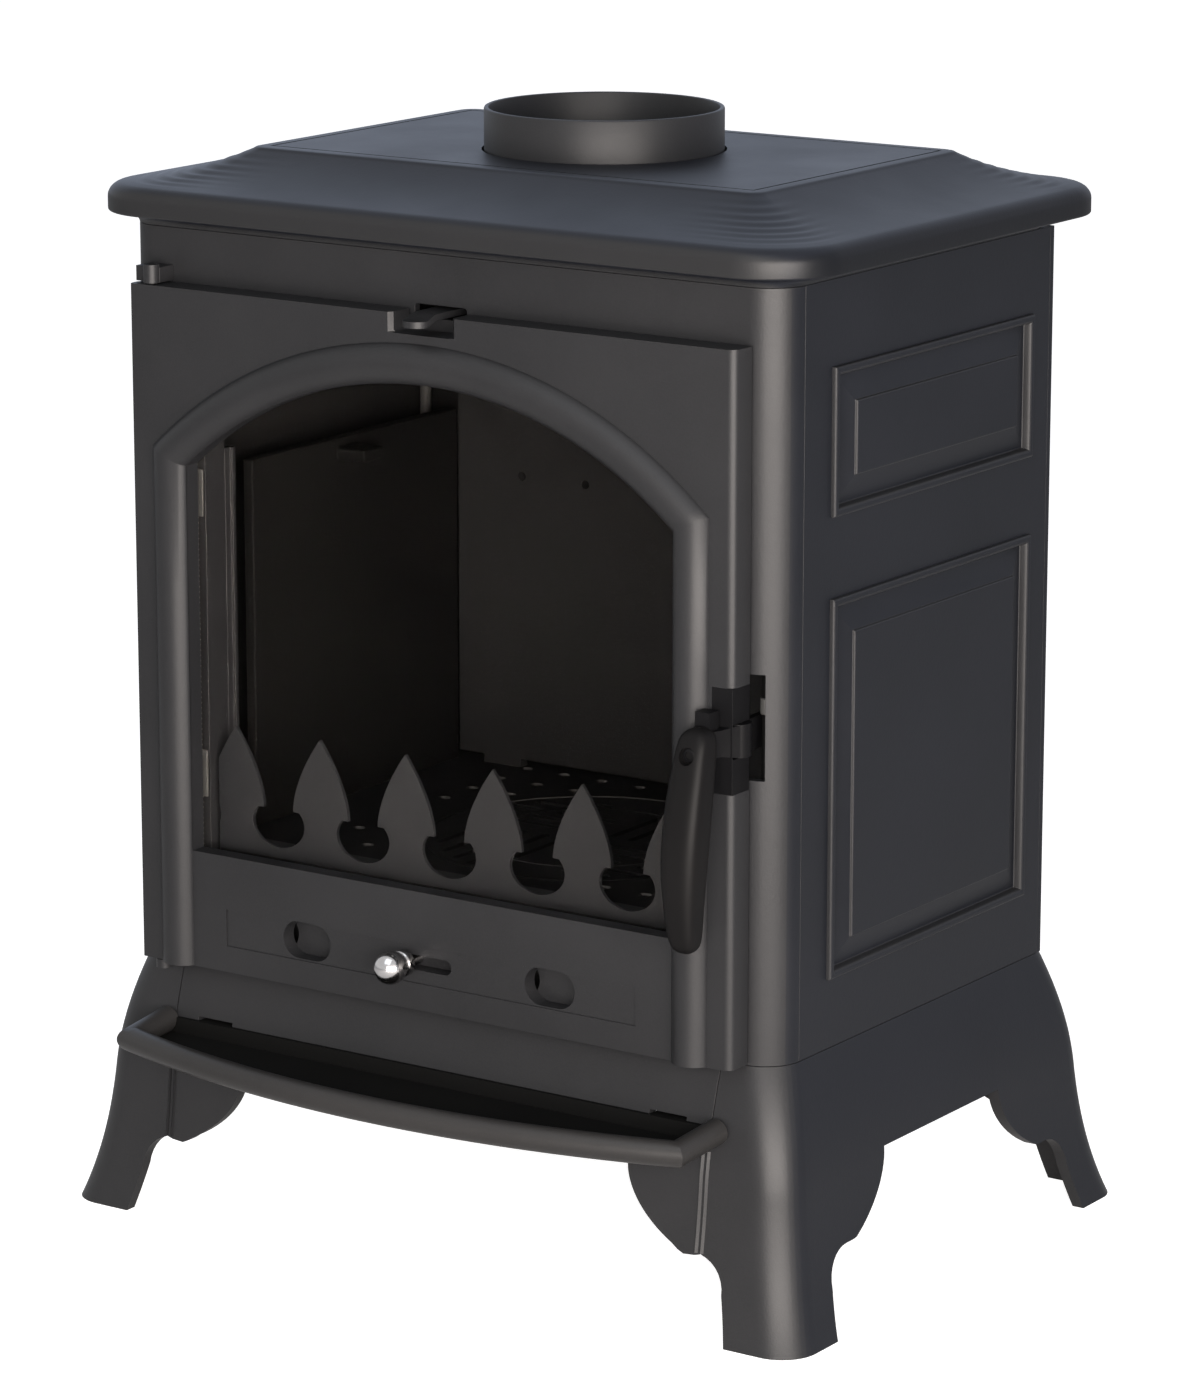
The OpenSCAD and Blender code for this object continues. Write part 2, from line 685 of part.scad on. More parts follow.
hook_t = 3;
hook_x0 = shelf_half_w - 50;
hook_x1 = shelf_half_w - 24;
ledge_z = shelf_z + 6;
hook_z = ledge_z - hook_t / 2;
hook_play = 2.2;
rim_r = shelf_rim_d / 2;
tray_z = shelf_z - rim_r + 1;
bow_y0 = rim_r - shelf_reach;
bow_rise = 33;
bow_y1 = bow_y0 + bow_rise;
bow_half = shelf_half_w - 2.2;
bow_r = (bow_half * bow_half + pow(bow_y1 - bow_y0, 2)) / 2 / (bow_y1 - bow_y0);
bow_a = asin(bow_half / bow_r);
tray_t = 4;
module shelf_rim() {
    translate([0, bow_y0 + bow_r, shelf_z]) rotate([0, 0, -90 - bow_a])
        rotate_extrude(angle = 2 * bow_a, $fn = 180) translate([bow_r, 0]) circle(rim_r, $fn = 32);
    both_sides() {
        translate([bow_half, bow_y1, shelf_z]) sphere(rim_r + 0.3, $fn = 32);
        end_bar();
    }
}
// Rolled end that runs back and up from the corner to the base
module end_bar() {
    dx = shelf_half_w - bow_half;
    dy = -flare(shelf_z + 4) - 1.5 - bow_y1;
    dz = 4;
    l = norm([dx, dy, dz]);
    translate([bow_half, bow_y1, shelf_z]) rotate([0, acos(dz / l), atan2(dy, dx)])
        cylinder(r = rim_r - 0.2, h = l - 2, $fn = 32);
}
// Ledge along the back of the shelf that follows the flare of the base
module ledge(x0, x1, z0, z1) {
    steps = [for (i = [0 : 4]) z0 + (z1 - z0) * i / 4];
    translate([x0, 0, 0]) rotate([90, 0, 90]) linear_extrude(x1 - x0) polygon(concat(
        [for (z = steps) [-flare(z) - fit, z]],
        [for (i = [4 : -1 : 0]) [-flare(steps[i]) - fit - ledge_t, steps[i]]]));
}
ledge_t = 3;
module ash_shelf() {
    color(iron_blue) from_panel() {
        intersection() {
            translate([0, bow_y0 + bow_r, tray_z]) cylinder(r = bow_r, h = tray_t, $fn = 240);
            box([-bow_half - 1, -shelf_reach, 0], [bow_half + 1, -flare(tray_z - 1) - fit, body_top]);
        }
        shelf_rim();
        ledge(-bow_half, bow_half, tray_z, ledge_z);
        both_sides()
            box([hook_x0, -flare(hook_z) - ledge_t, hook_z - hook_t / 2], [hook_x1, 1, hook_z + hook_t / 2]);
    }
}

// ---------- door ----------

arch_c = crown_z - arch_r;
win_r = arch_r - mould_w;
win_half = arch_half_w - mould_w;
spring_z = arch_c + sqrt(pow(win_r, 2) - pow(win_half, 2));
knuckle_r = 13.5;
bracket_h = 11.5;
pin_r = 3;
lug_top = base_h - 1.6;
lug_t = 3.2;
bevel = 5;
notch_half = lever_w / 2 + lever_travel + 3.5;
notch_d = 12.3;
pocket_d = 6;
glass_t = 4;
glass_over = 8;
recess_half = 155;
air_z = door_z0 + 30;
hub_h = 20;
lug_x0 = latch_x - 11;

// Window shape: arched top, flat sill, grown outward by g
module window(g) {
    intersection() {
        translate([0, arch_c]) circle(win_r + g, $fn = 240);
        translate([-win_half - g, sill_z - g]) square([2 * (win_half + g), body_top]);
    }
}
module stadium(l, h) {
    for (s = [-1, 1]) translate([s * (l - h) / 2, 0]) circle(h / 2, $fn = 48);
    square([l - h, h], center = true);
}
module through_y(y0, y1) {
    translate([0, y1, 0]) rotate([90, 0, 0]) linear_extrude(y1 - y0) children();
}

module door_blank() {
    translate([0, 0, door_z0]) linear_extrude(door_h) {
        polygon([[hinge_x, door_front], [door_w / 2 - bevel, door_front],
                 [door_w / 2, door_front + bevel], [door_w / 2, door_rear], [hinge_x, door_rear]]);
        intersection() {
            translate([hinge_x, hinge_y]) circle(knuckle_r, $fn = 96);
            translate([hinge_x - knuckle_r, door_front]) square([knuckle_r + eps, door_t]);
        }
    }
}

module door() {
    color(iron) from_panel() difference() {
        door_blank();
        through_y(door_front - 1, door_rear + 1) window(0);
        through_y(door_rear - 7, door_rear + 1) window(glass_over + 0.5);
        for (c = clip_spots) clip_pocket(c);
        // secondary air lever passes through here
        box([-notch_half, door_front - 1, door_z1 - notch_d], [notch_half, door_rear + 1, door_z1 + 1]);
        // air holes, their shallow panel and the pocket of the slide behind
        through_y(door_front - 1, door_rear + 1) translate([0, air_z]) {
            for (s = [-1, 1]) translate([s * air_hole_x, 0]) stadium(air_hole_l, air_hole_h);
            stadium(slide_travel + knob_slot_h, knob_slot_h);
        }
        box([-recess_half, door_front - 1, air_z - 13], [recess_half, door_front + 1, air_z + 11]);
        box([-slide_half - slide_travel / 2 - 2, door_rear - pocket_d - 1, air_z - slide_h / 2 - 3],
            [slide_half + slide_travel / 2 + 2, door_rear + 1, air_z + slide_h / 2 + 3]);
        // bores of the hinge pins
        for (z = [door_z0, door_z1]) rod_z(pin_r + run, z - 16, z + 16, hinge_x, hinge_y);
        // room for the latch
        box([lug_x0, door_front - 1, latch_z - latch_slot_h / 2],
            [door_w / 2 + 1, door_rear + 1, latch_z + latch_slot_h / 2]);
    }
}

mould_h = 8;
// Half-round section, as wide as the moulding and a little flatter than round
module mould_section() {
    intersection() {
        translate([0, mould_h - mould_sr]) circle(mould_sr, $fn = 96);
        translate([-mould_w / 2, 0]) square([mould_w, mould_h]);
    }
}
mould_sr = (pow(mould_w / 2, 2) + pow(mould_h, 2)) / 2 / mould_h;
jamb_x = arch_half_w - mould_w / 2;
arch_mid_r = arch_r - mould_w / 2;
joint_z = arch_c + sqrt(pow(arch_mid_r, 2) - pow(jamb_x, 2));
arch_half_a = asin(jamb_x / arch_mid_r);
module door_arch() {
    color(iron) from_panel() translate([0, door_front, 0]) {
        intersection() {
            translate([0, 0, arch_c]) rotate([90, 0, 0]) rotate([0, 0, 90 - arch_half_a - 8])
                rotate_extrude(angle = 2 * arch_half_a + 16, $fn = 300)
                    translate([arch_mid_r, 0]) mould_section();
            mitre_wedge(true);
        }
        both_sides() intersection() {
            translate([jamb_x, 0, door_z0]) linear_extrude(joint_z + mould_w - door_z0)
                rotate([0, 0, 180]) mould_section();
            mitre_wedge(false);
        }
    }
}
// Everything above (or below) the two mitre planes where arch and jambs meet
module mitre_wedge(above) {
    far = 2 * arch_r;
    slope = tan((arch_half_a) / 2);
    inner_z = joint_z - jamb_x * slope;
    outer_z = joint_z + (far - jamb_x) * slope;
    outline = above
        ? [[0, inner_z], [jamb_x, joint_z], [far, outer_z], [far, far * 2], [-far, far * 2],
           [-far, outer_z], [-jamb_x, joint_z]]
        : [[0, inner_z], [jamb_x, joint_z], [far, outer_z], [far, -1], [-far, -1],
           [-far, outer_z], [-jamb_x, joint_z]];
    through_y(-mould_h - 1, 1) polygon(outline);
}

glass_y = door_rear - 7 + 0.8;
module door_glass() {
    color([0.25, 0.22, 0.18, 0.35]) from_panel() through_y(glass_y, glass_y + glass_t) window(glass_over);
}
module glass_rope() {
    color(rope) from_panel() through_y(door_rear - 7, glass_y) difference() {
        window(glass_over);
        window(2);
    }
}
module door_rope() {
    color(rope) from_panel() through_y(door_rear + 0.1, -0.1) difference() {
        opening_slab(flange_t + 9);
        opening_slab(flange_t + 1);
    }
}

clip_size = [24, 30];
foot_clip_size = [30, 16];
clip_t = 1.6;
clip_spots = [for (s = [-1, 1]) for (z = [sill_z + 46.5, spring_z - 20]) [s * (win_half + 5), z],
              for (s = [-1, 1]) [s * 70, sill_z - 9]];
function at_side(c) = abs(c[0]) > win_half - 10;
function clip_half(c) = (at_side(c) ? clip_size : foot_clip_size) / 2;
module clip_pocket(c) {
    h = clip_half(c) + [0.5, 0.5];
    box([c[0] - h[0], glass_y + glass_t, c[1] - h[1]], [c[0] + h[0], door_rear + 1, c[1] + h[1]]);
}
module glass_clips() {
    y = glass_y + glass_t;
    color(steel) from_panel() for (c = clip_spots) {
        h = clip_half(c);
        out = at_side(c) ? [c[0] > 0 ? 8 : -8, 0] : [0, -4];
        box([c[0] - h[0], y, c[1] - h[1]], [c[0] + h[0], y + clip_t - 0.2, c[1] + h[1]]);
        rod_y(3, y + clip_t - 0.3, y + clip_t + 0.4, c[0] + out[0], c[1] + out[1]);
    }
}

// Primary air slide behind the lower plate
slide_half = air_hole_x + (air_hole_l + slide_travel) / 2 + 8;
slide_h = air_hole_h + 10;
slide_t = 2.5;
knob_slot_h = 9.6;
slide_y = door_rear - pocket_d - 1 + 0.2;
module air_slide() {
    color(iron) from_panel() through_y(slide_y, slide_y + slide_t)
        translate([-slide_travel / 2, air_z]) difference() {
            square([2 * slide_half, slide_h], center = true);
            for (s = [-1, 1]) translate([s * air_hole_x - slide_travel / 2, 0])
                stadium(air_hole_l - 10, air_hole_h - 2);
        }
}
module slide_rails() {
    y0 = slide_y + slide_t + 0.2;
    hx = slide_half + slide_travel / 2 + 2;
    color(iron) from_panel() for (z = [air_z - slide_h / 2, air_z + slide_h / 2])
        box([-hx, y0, z - 3], [hx, door_rear, z + 3]);
}
knob_y = door_front - 17.5;
knob_x = -slide_travel / 2;
module air_knob() {
    color([0.85, 0.86, 0.88]) from_panel() translate([knob_x, 0, air_z]) rotate([90, 0, 0])
        rotate_extrude($fn = 64) polygon(concat(
            [[0, -slide_y], [4.2, -slide_y], [4.2, -door_front + 2], [8, -door_front + 2.5],
             [8.5, -door_front + 3.3], [8.5, -door_front + 8.5], [7.4, -door_front + 9.5]],
            [for (i = [0 : 12]) let (a = -40 + 130 * i / 12)
                [knob_d / 2 * cos(a), -knob_y + knob_d / 2 * sin(a)]]));
}

// ---------- hinges ----------

module hinge_bracket_top() {
    z0 = door_z1 + 0.8;
    color(steel) from_panel() difference() {
        union() {
            rod_z(bracket_r, z0, z0 + bracket_h, hinge_x, hinge_y);
            box([hinge_x - knuckle_r, hinge_y + 1.5, z0], [hinge_x + bracket_r, 0, z0 + bracket_h - 2]);
        }
        rod_z(pin_r, z0 - 1, z0 + bracket_h + 1, hinge_x, hinge_y);
    }
}
module hinge_bracket_bottom() {
    z0 = lug_top - lug_t;
    color(steel) from_panel() difference() {
        union() {
            rod_z(bracket_r, z0, door_z0 - 0.6, hinge_x, hinge_y);
            box([hinge_x - bracket_r, hinge_y, z0], [hinge_x + bracket_r, base_wall, lug_top]);
        }
        rod_z(pin_r, z0 - 1, door_z0, hinge_x, hinge_y);
    }
}
module hinge_pins() {
    color(steel) from_panel() {
        rod_z(pin_r, door_z1 - 15, door_z1 + 0.8 + bracket_h, hinge_x, hinge_y);
        rod_z(pin_r, lug_top - lug_t, door_z0 + 15, hinge_x, hinge_y);
    }
}

// ---------- latch and handle ----------

keeper_r = 3;
keeper_a = 72.8;
keeper_dist = 22;
keeper = [latch_x, latch_y] + keeper_dist * [cos(keeper_a), sin(keeper_a)];
latch_pin_r = 3;
hub_r = 8;
lug_gap = 0.5;
module latch_keeper() {
    color(steel) from_panel() {
        mid = latch_z + slot_lift;
        rod_z(keeper_r, mid - latch_slot_h / 2 - 8, mid + latch_slot_h / 2 + 8, keeper[0], keeper[1]);
        for (z = [mid - latch_slot_h / 2 - 8, mid + latch_slot_h / 2 + 4])
            translate([0, 0, z]) linear_extrude(4) intersection() {
                translate([keeper[0] - 18, panel_t]) square([22, keeper[1] + 3 - panel_t]);
                union() {
                    translate([half_w - corner_r, corner_r]) circle(corner_r - panel_t, $fn = 96);
                    translate([keeper[0] - 19, panel_t]) square([half_w - corner_r - keeper[0] + 19, 20]);
                }
            }
    }
}
module latch_bracket() {
    z0 = latch_z - latch_slot_h / 2;
    z1 = latch_z + latch_slot_h / 2;
    color([0.2, 0.2, 0.2]) from_panel() difference() {
        box([lug_x0, door_front, z0], [door_w / 2, door_rear, z1]);
        box([lug_x0 + 1.5, door_front - 1, latch_z - hub_h / 2 - lug_gap],
            [door_w / 2 + 1, door_rear + 1, latch_z + hub_h / 2 + lug_gap]);
        rod_z(latch_pin_r, z0 - 1, z1 + 1, latch_x, latch_y);
    }
}
module latch_pin() {
    color(steel) from_panel()
        rod_z(latch_pin_r, latch_z - latch_slot_h / 2, latch_z + latch_slot_h / 2, latch_x, latch_y);
}
hook_r0 = keeper_dist + keeper_r + 1;
hook_a = 94;
grip_x = latch_x - 9.5;
grip_reach = 29;
grip_y = latch_y - grip_reach;
// Flat arm from the hub out to the grip, grown by g
module arm_bar(g) {
    translate([latch_x, latch_y, latch_z - arm_h / 2 - g]) linear_extrude(arm_h + 2 * g)
        rotate(atan2(grip_y - latch_y, grip_x - latch_x)) translate([0, -arm_w / 2 - g])
            square([norm([grip_x - latch_x, grip_y - latch_y]) + g, arm_w + 2 * g]);
}
arm_w = 9;
arm_h = 16;
core_half = 5;
screw_drop = 4;
core_drop = 24;
// Square bar inside the grip and the block that rises behind it, grown by g
module grip_core(g) {
    h = core_half + g;
    box([grip_x - h, grip_y - h, latch_z - core_drop - g],
        [grip_x + h, grip_y + core_half + eps, latch_z + 2 + g]);
    box([grip_x - h, grip_y + core_half - g, latch_z - arm_h / 2 - g],
        [grip_x + h, grip_y + 3 * core_half, latch_z + 19]);
}
module latch_lever() {
    z0 = latch_z - hub_h / 2;
    color([0.16, 0.16, 0.16]) from_panel() difference() {
        union() {
            rod_z(hub_r, z0, z0 + hub_h, latch_x, latch_y);
            // hook that passes behind the keeper
            translate([latch_x, latch_y, z0]) linear_extrude(hub_h) {
                rotate(hook_a) translate([0, -2.2]) square([hook_r0 + 2, 4.4]);
                intersection() {
                    difference() { circle(hook_r0 + 4, $fn = 96); circle(hook_r0, $fn = 96); }
                    polygon([[0, 0], 50 * [cos(hook_a + 4), sin(hook_a + 4)], 50 * [cos(66), sin(66)]]);
                }
            }
            arm_bar(0);
            grip_core(0);
        }
        rod_z(latch_pin_r + run, z0 - 1, z0 + hub_h + 1, latch_x, latch_y);
        rod_y(2.5, grip_y - 8, grip_y + 8, grip_x, latch_z - screw_drop);
    }
}

grip_levels = 14;
// Width of the grip along its length, as a share of its full width
function grip_size(k) = sqrt(max(0.04, 1 - pow(abs(2 * k - 1), 20)))
    * (0.76 + 0.25 * sin(180 * k) - 0.13 * k * k);
function grip_ring(w, d, x, y, z) = [for (p = ring(w / 2, -d / 2, d / 2, min(w, d) * 0.3, z)) p + [x, y, 0]];
module grip() {
    top = latch_z + 11;
    bow = 16;
    color([0.05, 0.05, 0.05]) from_panel() difference() {
        loft([for (i = [grip_levels : -1 : 0])
            let (k = (1 - cos(180 * i / grip_levels)) / 2)
            grip_ring(grip_w * grip_size(k), (grip_w - 2) * grip_size(k),
                      grip_x, grip_y + 2 - bow * sin(125 * k), top - grip_l * k)]);
        grip_core(0.2);
        arm_bar(0.3);
        rod_y(2.6, grip_y - 40, grip_y + 30, grip_x, latch_z - screw_drop);
    }
}
module grip_screw() {
    color(steel) from_panel() rod_y(2.4, grip_y - 9.5, grip_y + 4, grip_x, latch_z - screw_drop);
}

// ---------- secondary air ----------

channel_y = 34;
channel_half = 150;
wash_holes = [-100, -50, 50, 100];
wash_size = [22, 9];
shutter_h = 24;
module air_channel() {
    z0 = lever_z - 16;
    z1 = lever_z + 16;
    color(iron_dark) from_panel() difference() {
        box([-channel_half, panel_t, z0], [channel_half, channel_y, z1]);
        box([-channel_half - 1, panel_t - 1, z0 + 2], [channel_half + 1, channel_y - 2, z1 - 2]);
        for (x = wash_holes) translate([x, channel_y + 1, lever_z]) rotate([90, 0, 0])
            linear_extrude(4) stadium(wash_size[0], wash_size[1]);
    }
}
module airwash_shutter() {
    color(iron) from_panel() through_y(channel_y - 2 - 2.2, channel_y - 2 - 0.2)
        translate([0, lever_z]) difference() {
            square([2 * (channel_half - lever_travel - 4), shutter_h], center = true);
            for (x = wash_holes) translate([x, 0]) stadium(wash_size[0], wash_size[1]);
        }
}
lever_out = 33;
module airwash_lever() {
    color(steel) from_panel() translate([0, 0, lever_z - lever_t / 2]) linear_extrude(lever_t) {
        translate([0, -lever_out + lever_w / 2]) circle(lever_w / 2, $fn = 48);
        translate([-lever_w / 2, -lever_out + lever_w / 2])
            square([lever_w, lever_out - lever_w / 2 + channel_y - 4.2]);
    }
}

base_side_left();
base_side_right();
base_front();
base_rear();
base_bolts();
bottom_plate();
front_panel();
side_panel_left();
side_panel_right();
rear_panel();
tie_rods();
top_plate();
flue_collar();
collar_bolts();
firebox_floor();
round_grate();
liner_left();
liner_right();
liner_rear();
baffle();
baffle_rails();
log_guard();
ash_pan();
ash_shelf();
air_channel();
hinge_bracket_top();
hinge_bracket_bottom();
hinge_pins();
latch_keeper();
door();
door_arch();
door_glass();
glass_rope();
door_rope();
glass_clips();
slide_rails();
latch_bracket();
latch_pin();
latch_lever();
grip();
grip_screw();
air_slide();
air_knob();
airwash_lever();
airwash_shutter();
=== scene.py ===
# Free-standing cast-iron wood stove: detailed model over the CAD frame
import json
import math
import bpy
import bmesh
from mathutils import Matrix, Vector


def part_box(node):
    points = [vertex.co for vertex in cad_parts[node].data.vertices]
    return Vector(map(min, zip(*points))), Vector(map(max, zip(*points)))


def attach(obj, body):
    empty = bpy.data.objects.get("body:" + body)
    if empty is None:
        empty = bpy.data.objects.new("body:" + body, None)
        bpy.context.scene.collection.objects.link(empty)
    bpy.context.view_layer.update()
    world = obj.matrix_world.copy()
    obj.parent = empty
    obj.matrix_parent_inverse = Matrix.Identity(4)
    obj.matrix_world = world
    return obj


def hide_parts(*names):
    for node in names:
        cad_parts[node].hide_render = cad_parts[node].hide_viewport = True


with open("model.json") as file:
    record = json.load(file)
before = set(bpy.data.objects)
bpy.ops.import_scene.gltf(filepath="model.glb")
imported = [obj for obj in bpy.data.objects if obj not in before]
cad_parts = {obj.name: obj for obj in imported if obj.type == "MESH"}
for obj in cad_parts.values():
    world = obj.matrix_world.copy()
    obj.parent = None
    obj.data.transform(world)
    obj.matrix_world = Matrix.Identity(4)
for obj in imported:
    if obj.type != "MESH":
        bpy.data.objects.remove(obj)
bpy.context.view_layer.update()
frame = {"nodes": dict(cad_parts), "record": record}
cadNodes = frame["nodes"]
scene = bpy.context.scene
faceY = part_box("front_panel")[0][1]      # outer face of the front panel, metres
print("frame loaded:", len(cadNodes), "nodes")

# All shapes below are drawn in millimetres: x to the right, y back from the
# front panel's face, z up from the hearth.

body = {"halfWidth": 243, "depth": 315, "bottom": 166.5, "top": 635, "cornerRadius": 24, "wall": 5}


# mesh tools
def place(point):
    return (point[0] / 1000, point[1] / 1000 + faceY, point[2] / 1000)


def buildMesh(name, verts, faces, edges=()):
    mesh = bpy.data.meshes.new(name)
    mesh.from_pydata([place(v) for v in verts], edges, faces)
    mesh.validate()
    return mesh


def newObject(name, mesh):
    obj = bpy.data.objects.new(name, mesh)
    scene.collection.objects.link(obj)
    return obj


def discard(objs):
    for obj in objs:
        bpy.data.objects.remove(obj)


def resultMesh(obj):      # mesh with the modifiers worked in
    return bpy.data.meshes.new_from_object(obj.evaluated_get(bpy.context.evaluated_depsgraph_get()))


def settle(obj):          # swap live modifiers for their result
    mesh = resultMesh(obj)
    obj.modifiers.clear()
    obj.data = mesh
    mesh.name = obj.name
    return obj


def addBevel(obj, width, segments=2, angle=35):
    bevel = obj.modifiers.new("edges", "BEVEL")
    bevel.width = width / 1000
    bevel.segments = segments
    bevel.limit_method = "ANGLE"
    bevel.angle_limit = math.radians(angle)
    bevel.miter_outer = "MITER_ARC"
    normals = obj.modifiers.new("normals", "WEIGHTED_NORMAL")
    normals.keep_sharp = True
    normals.weight = 80


def finishPiece(obj, material, bodyName, *replaced, edge=0, segments=2, angle=35, smooth=35, slot=None):
    mesh = obj.data
    mesh.materials.clear()
    mesh.materials.append(material)
    mesh.shade_smooth()
    if smooth:
        mesh.set_sharp_from_angle(angle=math.radians(179 if edge else smooth))
    if edge:
        addBevel(obj, edge, segments, angle)
        settle(obj)
    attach(obj, bodyName)
    if replaced:
        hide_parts(*replaced)
    return obj


def outward(obj):         # merge doubles, turn every face outward
    work = bmesh.new()
    work.from_mesh(obj.data)
    bmesh.ops.remove_doubles(work, verts=work.verts, dist=1e-6)
    bmesh.ops.delete(work, geom=[v for v in work.verts if not v.link_faces], context="VERTS")
    bmesh.ops.recalc_face_normals(work, faces=work.faces)
    work.to_mesh(obj.data)
    work.free()
    return obj


def closedPiece(name, verts, faces):
    return outward(newObject(name, buildMesh(name, verts, faces)))


def combine(obj, operation, others):
    for other in others:
        boolean = obj.modifiers.new("combine", "BOOLEAN")
        boolean.operation, boolean.solver, boolean.object = operation, "EXACT", other
    settle(obj)
    discard(others)
    return obj


def cut(obj, *cutters):
    return combine(obj, "DIFFERENCE", cutters)


def fuse(name, first, *others):           # one closed skin out of pieces that overlap
    first.name = name
    return combine(first, "UNION", others)


def join(name, *objs):
    work = bmesh.new()
    for obj in objs:
        work.from_mesh(obj.data)
    mesh = bpy.data.meshes.new(name)
    work.to_mesh(mesh)
    work.free()
    discard(objs)
    return newObject(name, mesh)


def mirrorX(obj):
    for vert in obj.data.vertices:
        vert.co.x = -vert.co.x
    obj.data.flip_normals()
    return obj


# quads through a list of rings that have the same number of points
def skin(rings, capped=True):
    count = len(rings[0])
    faces = []
    for r in range(len(rings) - 1):
        for i in range(count):
            a, b = r * count + i, r * count + (i + 1) % count
            faces.append((a, b, b + count, a + count))
    if capped:
        faces.append(tuple(reversed(range(count))))
        faces.append(tuple(range((len(rings) - 1) * count, len(rings) * count)))
    return [p for ring in rings for p in ring], faces


def skinned(name, rings, capped=True):
    return closedPiece(name, *skin(rings, capped))


# closed wall between two skins that share their faces
def shell(outer, inner, faces):
    count = len(outer)
    used = {edge: True for face in faces for edge in zip(face, face[1:] + face[:1])}
    result = list(faces) + [tuple(v + count for v in reversed(face)) for face in faces]
    result += [(b, a, a + count, b + count) for a, b in used if (b, a) not in used]
    return outer + inner, result


def arcPoints(cx, cy, radius, start, end, steps):
    points = []
    for i in range(steps + 1):
        a = math.radians(start + (end - start) * i / steps)
        points.append((cx + radius * math.cos(a), cy + radius * math.sin(a)))
    return points


def circleOutline(cx, cy, radius, steps=48):
    return arcPoints(cx, cy, radius, 0, 360 - 360 / steps, steps - 1)


# rounded rectangle at height z, counter-clockwise, starting at the front
def roundedRing(halfX, y0, y1, radius, z, steps=12, straights=1):
    points = []
    centres = [(halfX - radius, y0 + radius), (halfX - radius, y1 - radius),
               (radius - halfX, y1 - radius), (radius - halfX, y0 + radius)]
    for q, (cx, cy) in enumerate(centres):
        points += arcPoints(cx, cy, radius, -90 + 90 * q, 90 * q, steps)
        nx, ny = centres[(q + 1) % 4]
        a = math.radians(90 * q)
        sx, sy = cx + radius * math.cos(a), cy + radius * math.sin(a)
        ex, ey = nx + radius * math.cos(a), ny + radius * math.sin(a)
        for k in range(1, straights):
            t = k / straights
            points.append((sx + (ex - sx) * t, sy + (ey - sy) * t))
    return [(x, y, z) for x, y in points]


def prism(name, outline, z0, z1):         # upright block over an outline in x and y
    return skinned(name, [[(x, y, z) for x, y in outline] for z in (z0, z1)])


def slab(name, outline, y0, y1):          # block over an outline in x and z
    return skinned(name, [[(x, y, z) for x, z in outline] for y in (y0, y1)])


def sideSlab(name, outline, x0, x1):      # block over an outline in y and z
    return skinned(name, [[(x, y, z) for y, z in outline] for x in (x0, x1)])


def rectangle(a0, b0, a1, b1):
    return [(a0, b0), (a1, b0), (a1, b1), (a0, b1)]


def roundedRectangle(a0, b0, a1, b1, radius, steps=8):
    return (arcPoints(a1 - radius, b0 + radius, radius, -90, 0, steps)
            + arcPoints(a1 - radius, b1 - radius, radius, 0, 90, steps)
            + arcPoints(a0 + radius, b1 - radius, radius, 90, 180, steps)
            + arcPoints(a0 + radius, b0 + radius, radius, 180, 270, steps))


def turned(points, angle, cx, cy):
    a = math.radians(angle)
    return [(cx + x * math.cos(a) - y * math.sin(a), cy + x * math.sin(a) + y * math.cos(a)) for x, y in points]


# flat plate with rounded edges, standing in x and z
def plate(name, outer, y0, y1, edge):
    curve = bpy.data.curves.new(name, "CURVE")
    curve.dimensions = "2D"
    curve.fill_mode = "BOTH"
    curve.extrude = (y1 - y0) / 2 - edge
    curve.bevel_depth = edge
    curve.bevel_resolution = 2
    curve.offset = -edge
    spline = curve.splines.new("POLY")
    spline.points.add(len(outer) - 1)
    for point, (x, z) in zip(spline.points, outer):
        point.co = (x, z, 0, 1)
    spline.use_cyclic_u = True
    drawn = newObject(name + "Curve", curve)
    mesh = resultMesh(drawn)
    discard([drawn])
    for vert in mesh.vertices:
        x, y, z = vert.co
        vert.co = place((x, (y0 + y1) / 2 - z, y))
    return outward(newObject(name, mesh))


# turns (radius, height) pairs about an axis: "x", "y" or "z"
def lathe(name, profile, centre, axis, steps=64):
    rings = []
    for radius, height in profile:
        ring = []
        for i in range(steps):
            a = 2 * math.pi * i / steps
            u, v = radius * math.cos(a), radius * math.sin(a)
            offset = {"z": (u, v, height), "y": (u, height, v), "x": (height, u, v)}[axis]
            ring.append(tuple(c + o for c, o in zip(centre, offset)))
        rings.append(ring)
    return skinned(name, rings)


# turns a closed (radius, height) loop about an upright axis
def turnedRing(name, profile, centre, steps=96):
    verts, faces = [], []
    count = len(profile)
    for i in range(steps):
        a = 2 * math.pi * i / steps
        verts += [(centre[0] + r * math.cos(a), centre[1] + r * math.sin(a), centre[2] + h) for r, h in profile]
        for j in range(count):
            k, n = (j + 1) % count, (i + 1) % steps
            faces.append((i * count + j, n * count + j, n * count + k, i * count + k))
    return closedPiece(name, verts, faces)


def rod(z0, z1, radius):                  # profile of a pin with small chamfers at both ends
    return [(radius - 0.5, z0), (radius, z0 + 0.5), (radius, z1 - 0.5), (radius - 0.5, z1)]


# node tools, for shaders and for geometry
def feed(tree, node, values):             # sockets by name or number: an output is linked, a constant is set
    for key, value in values.items():
        if hasattr(value, "outputs"):
            value = value.outputs[0]
        if hasattr(value, "is_output"):
            tree.links.new(value, node.inputs[key])
        elif value is not None:
            node.inputs[key].default_value = value
    return node


def addNode(tree, kind, values=None, **settings):
    node = tree.nodes.new(kind)
    for key, value in settings.items():
        setattr(node, key, value)
    return feed(tree, node, values or {})


def mathNode(tree, operation, *values, clamp=False):
    node = addNode(tree, "ShaderNodeMath", operation=operation, use_clamp=clamp)
    return feed(tree, node, dict(enumerate(values))).outputs[0]


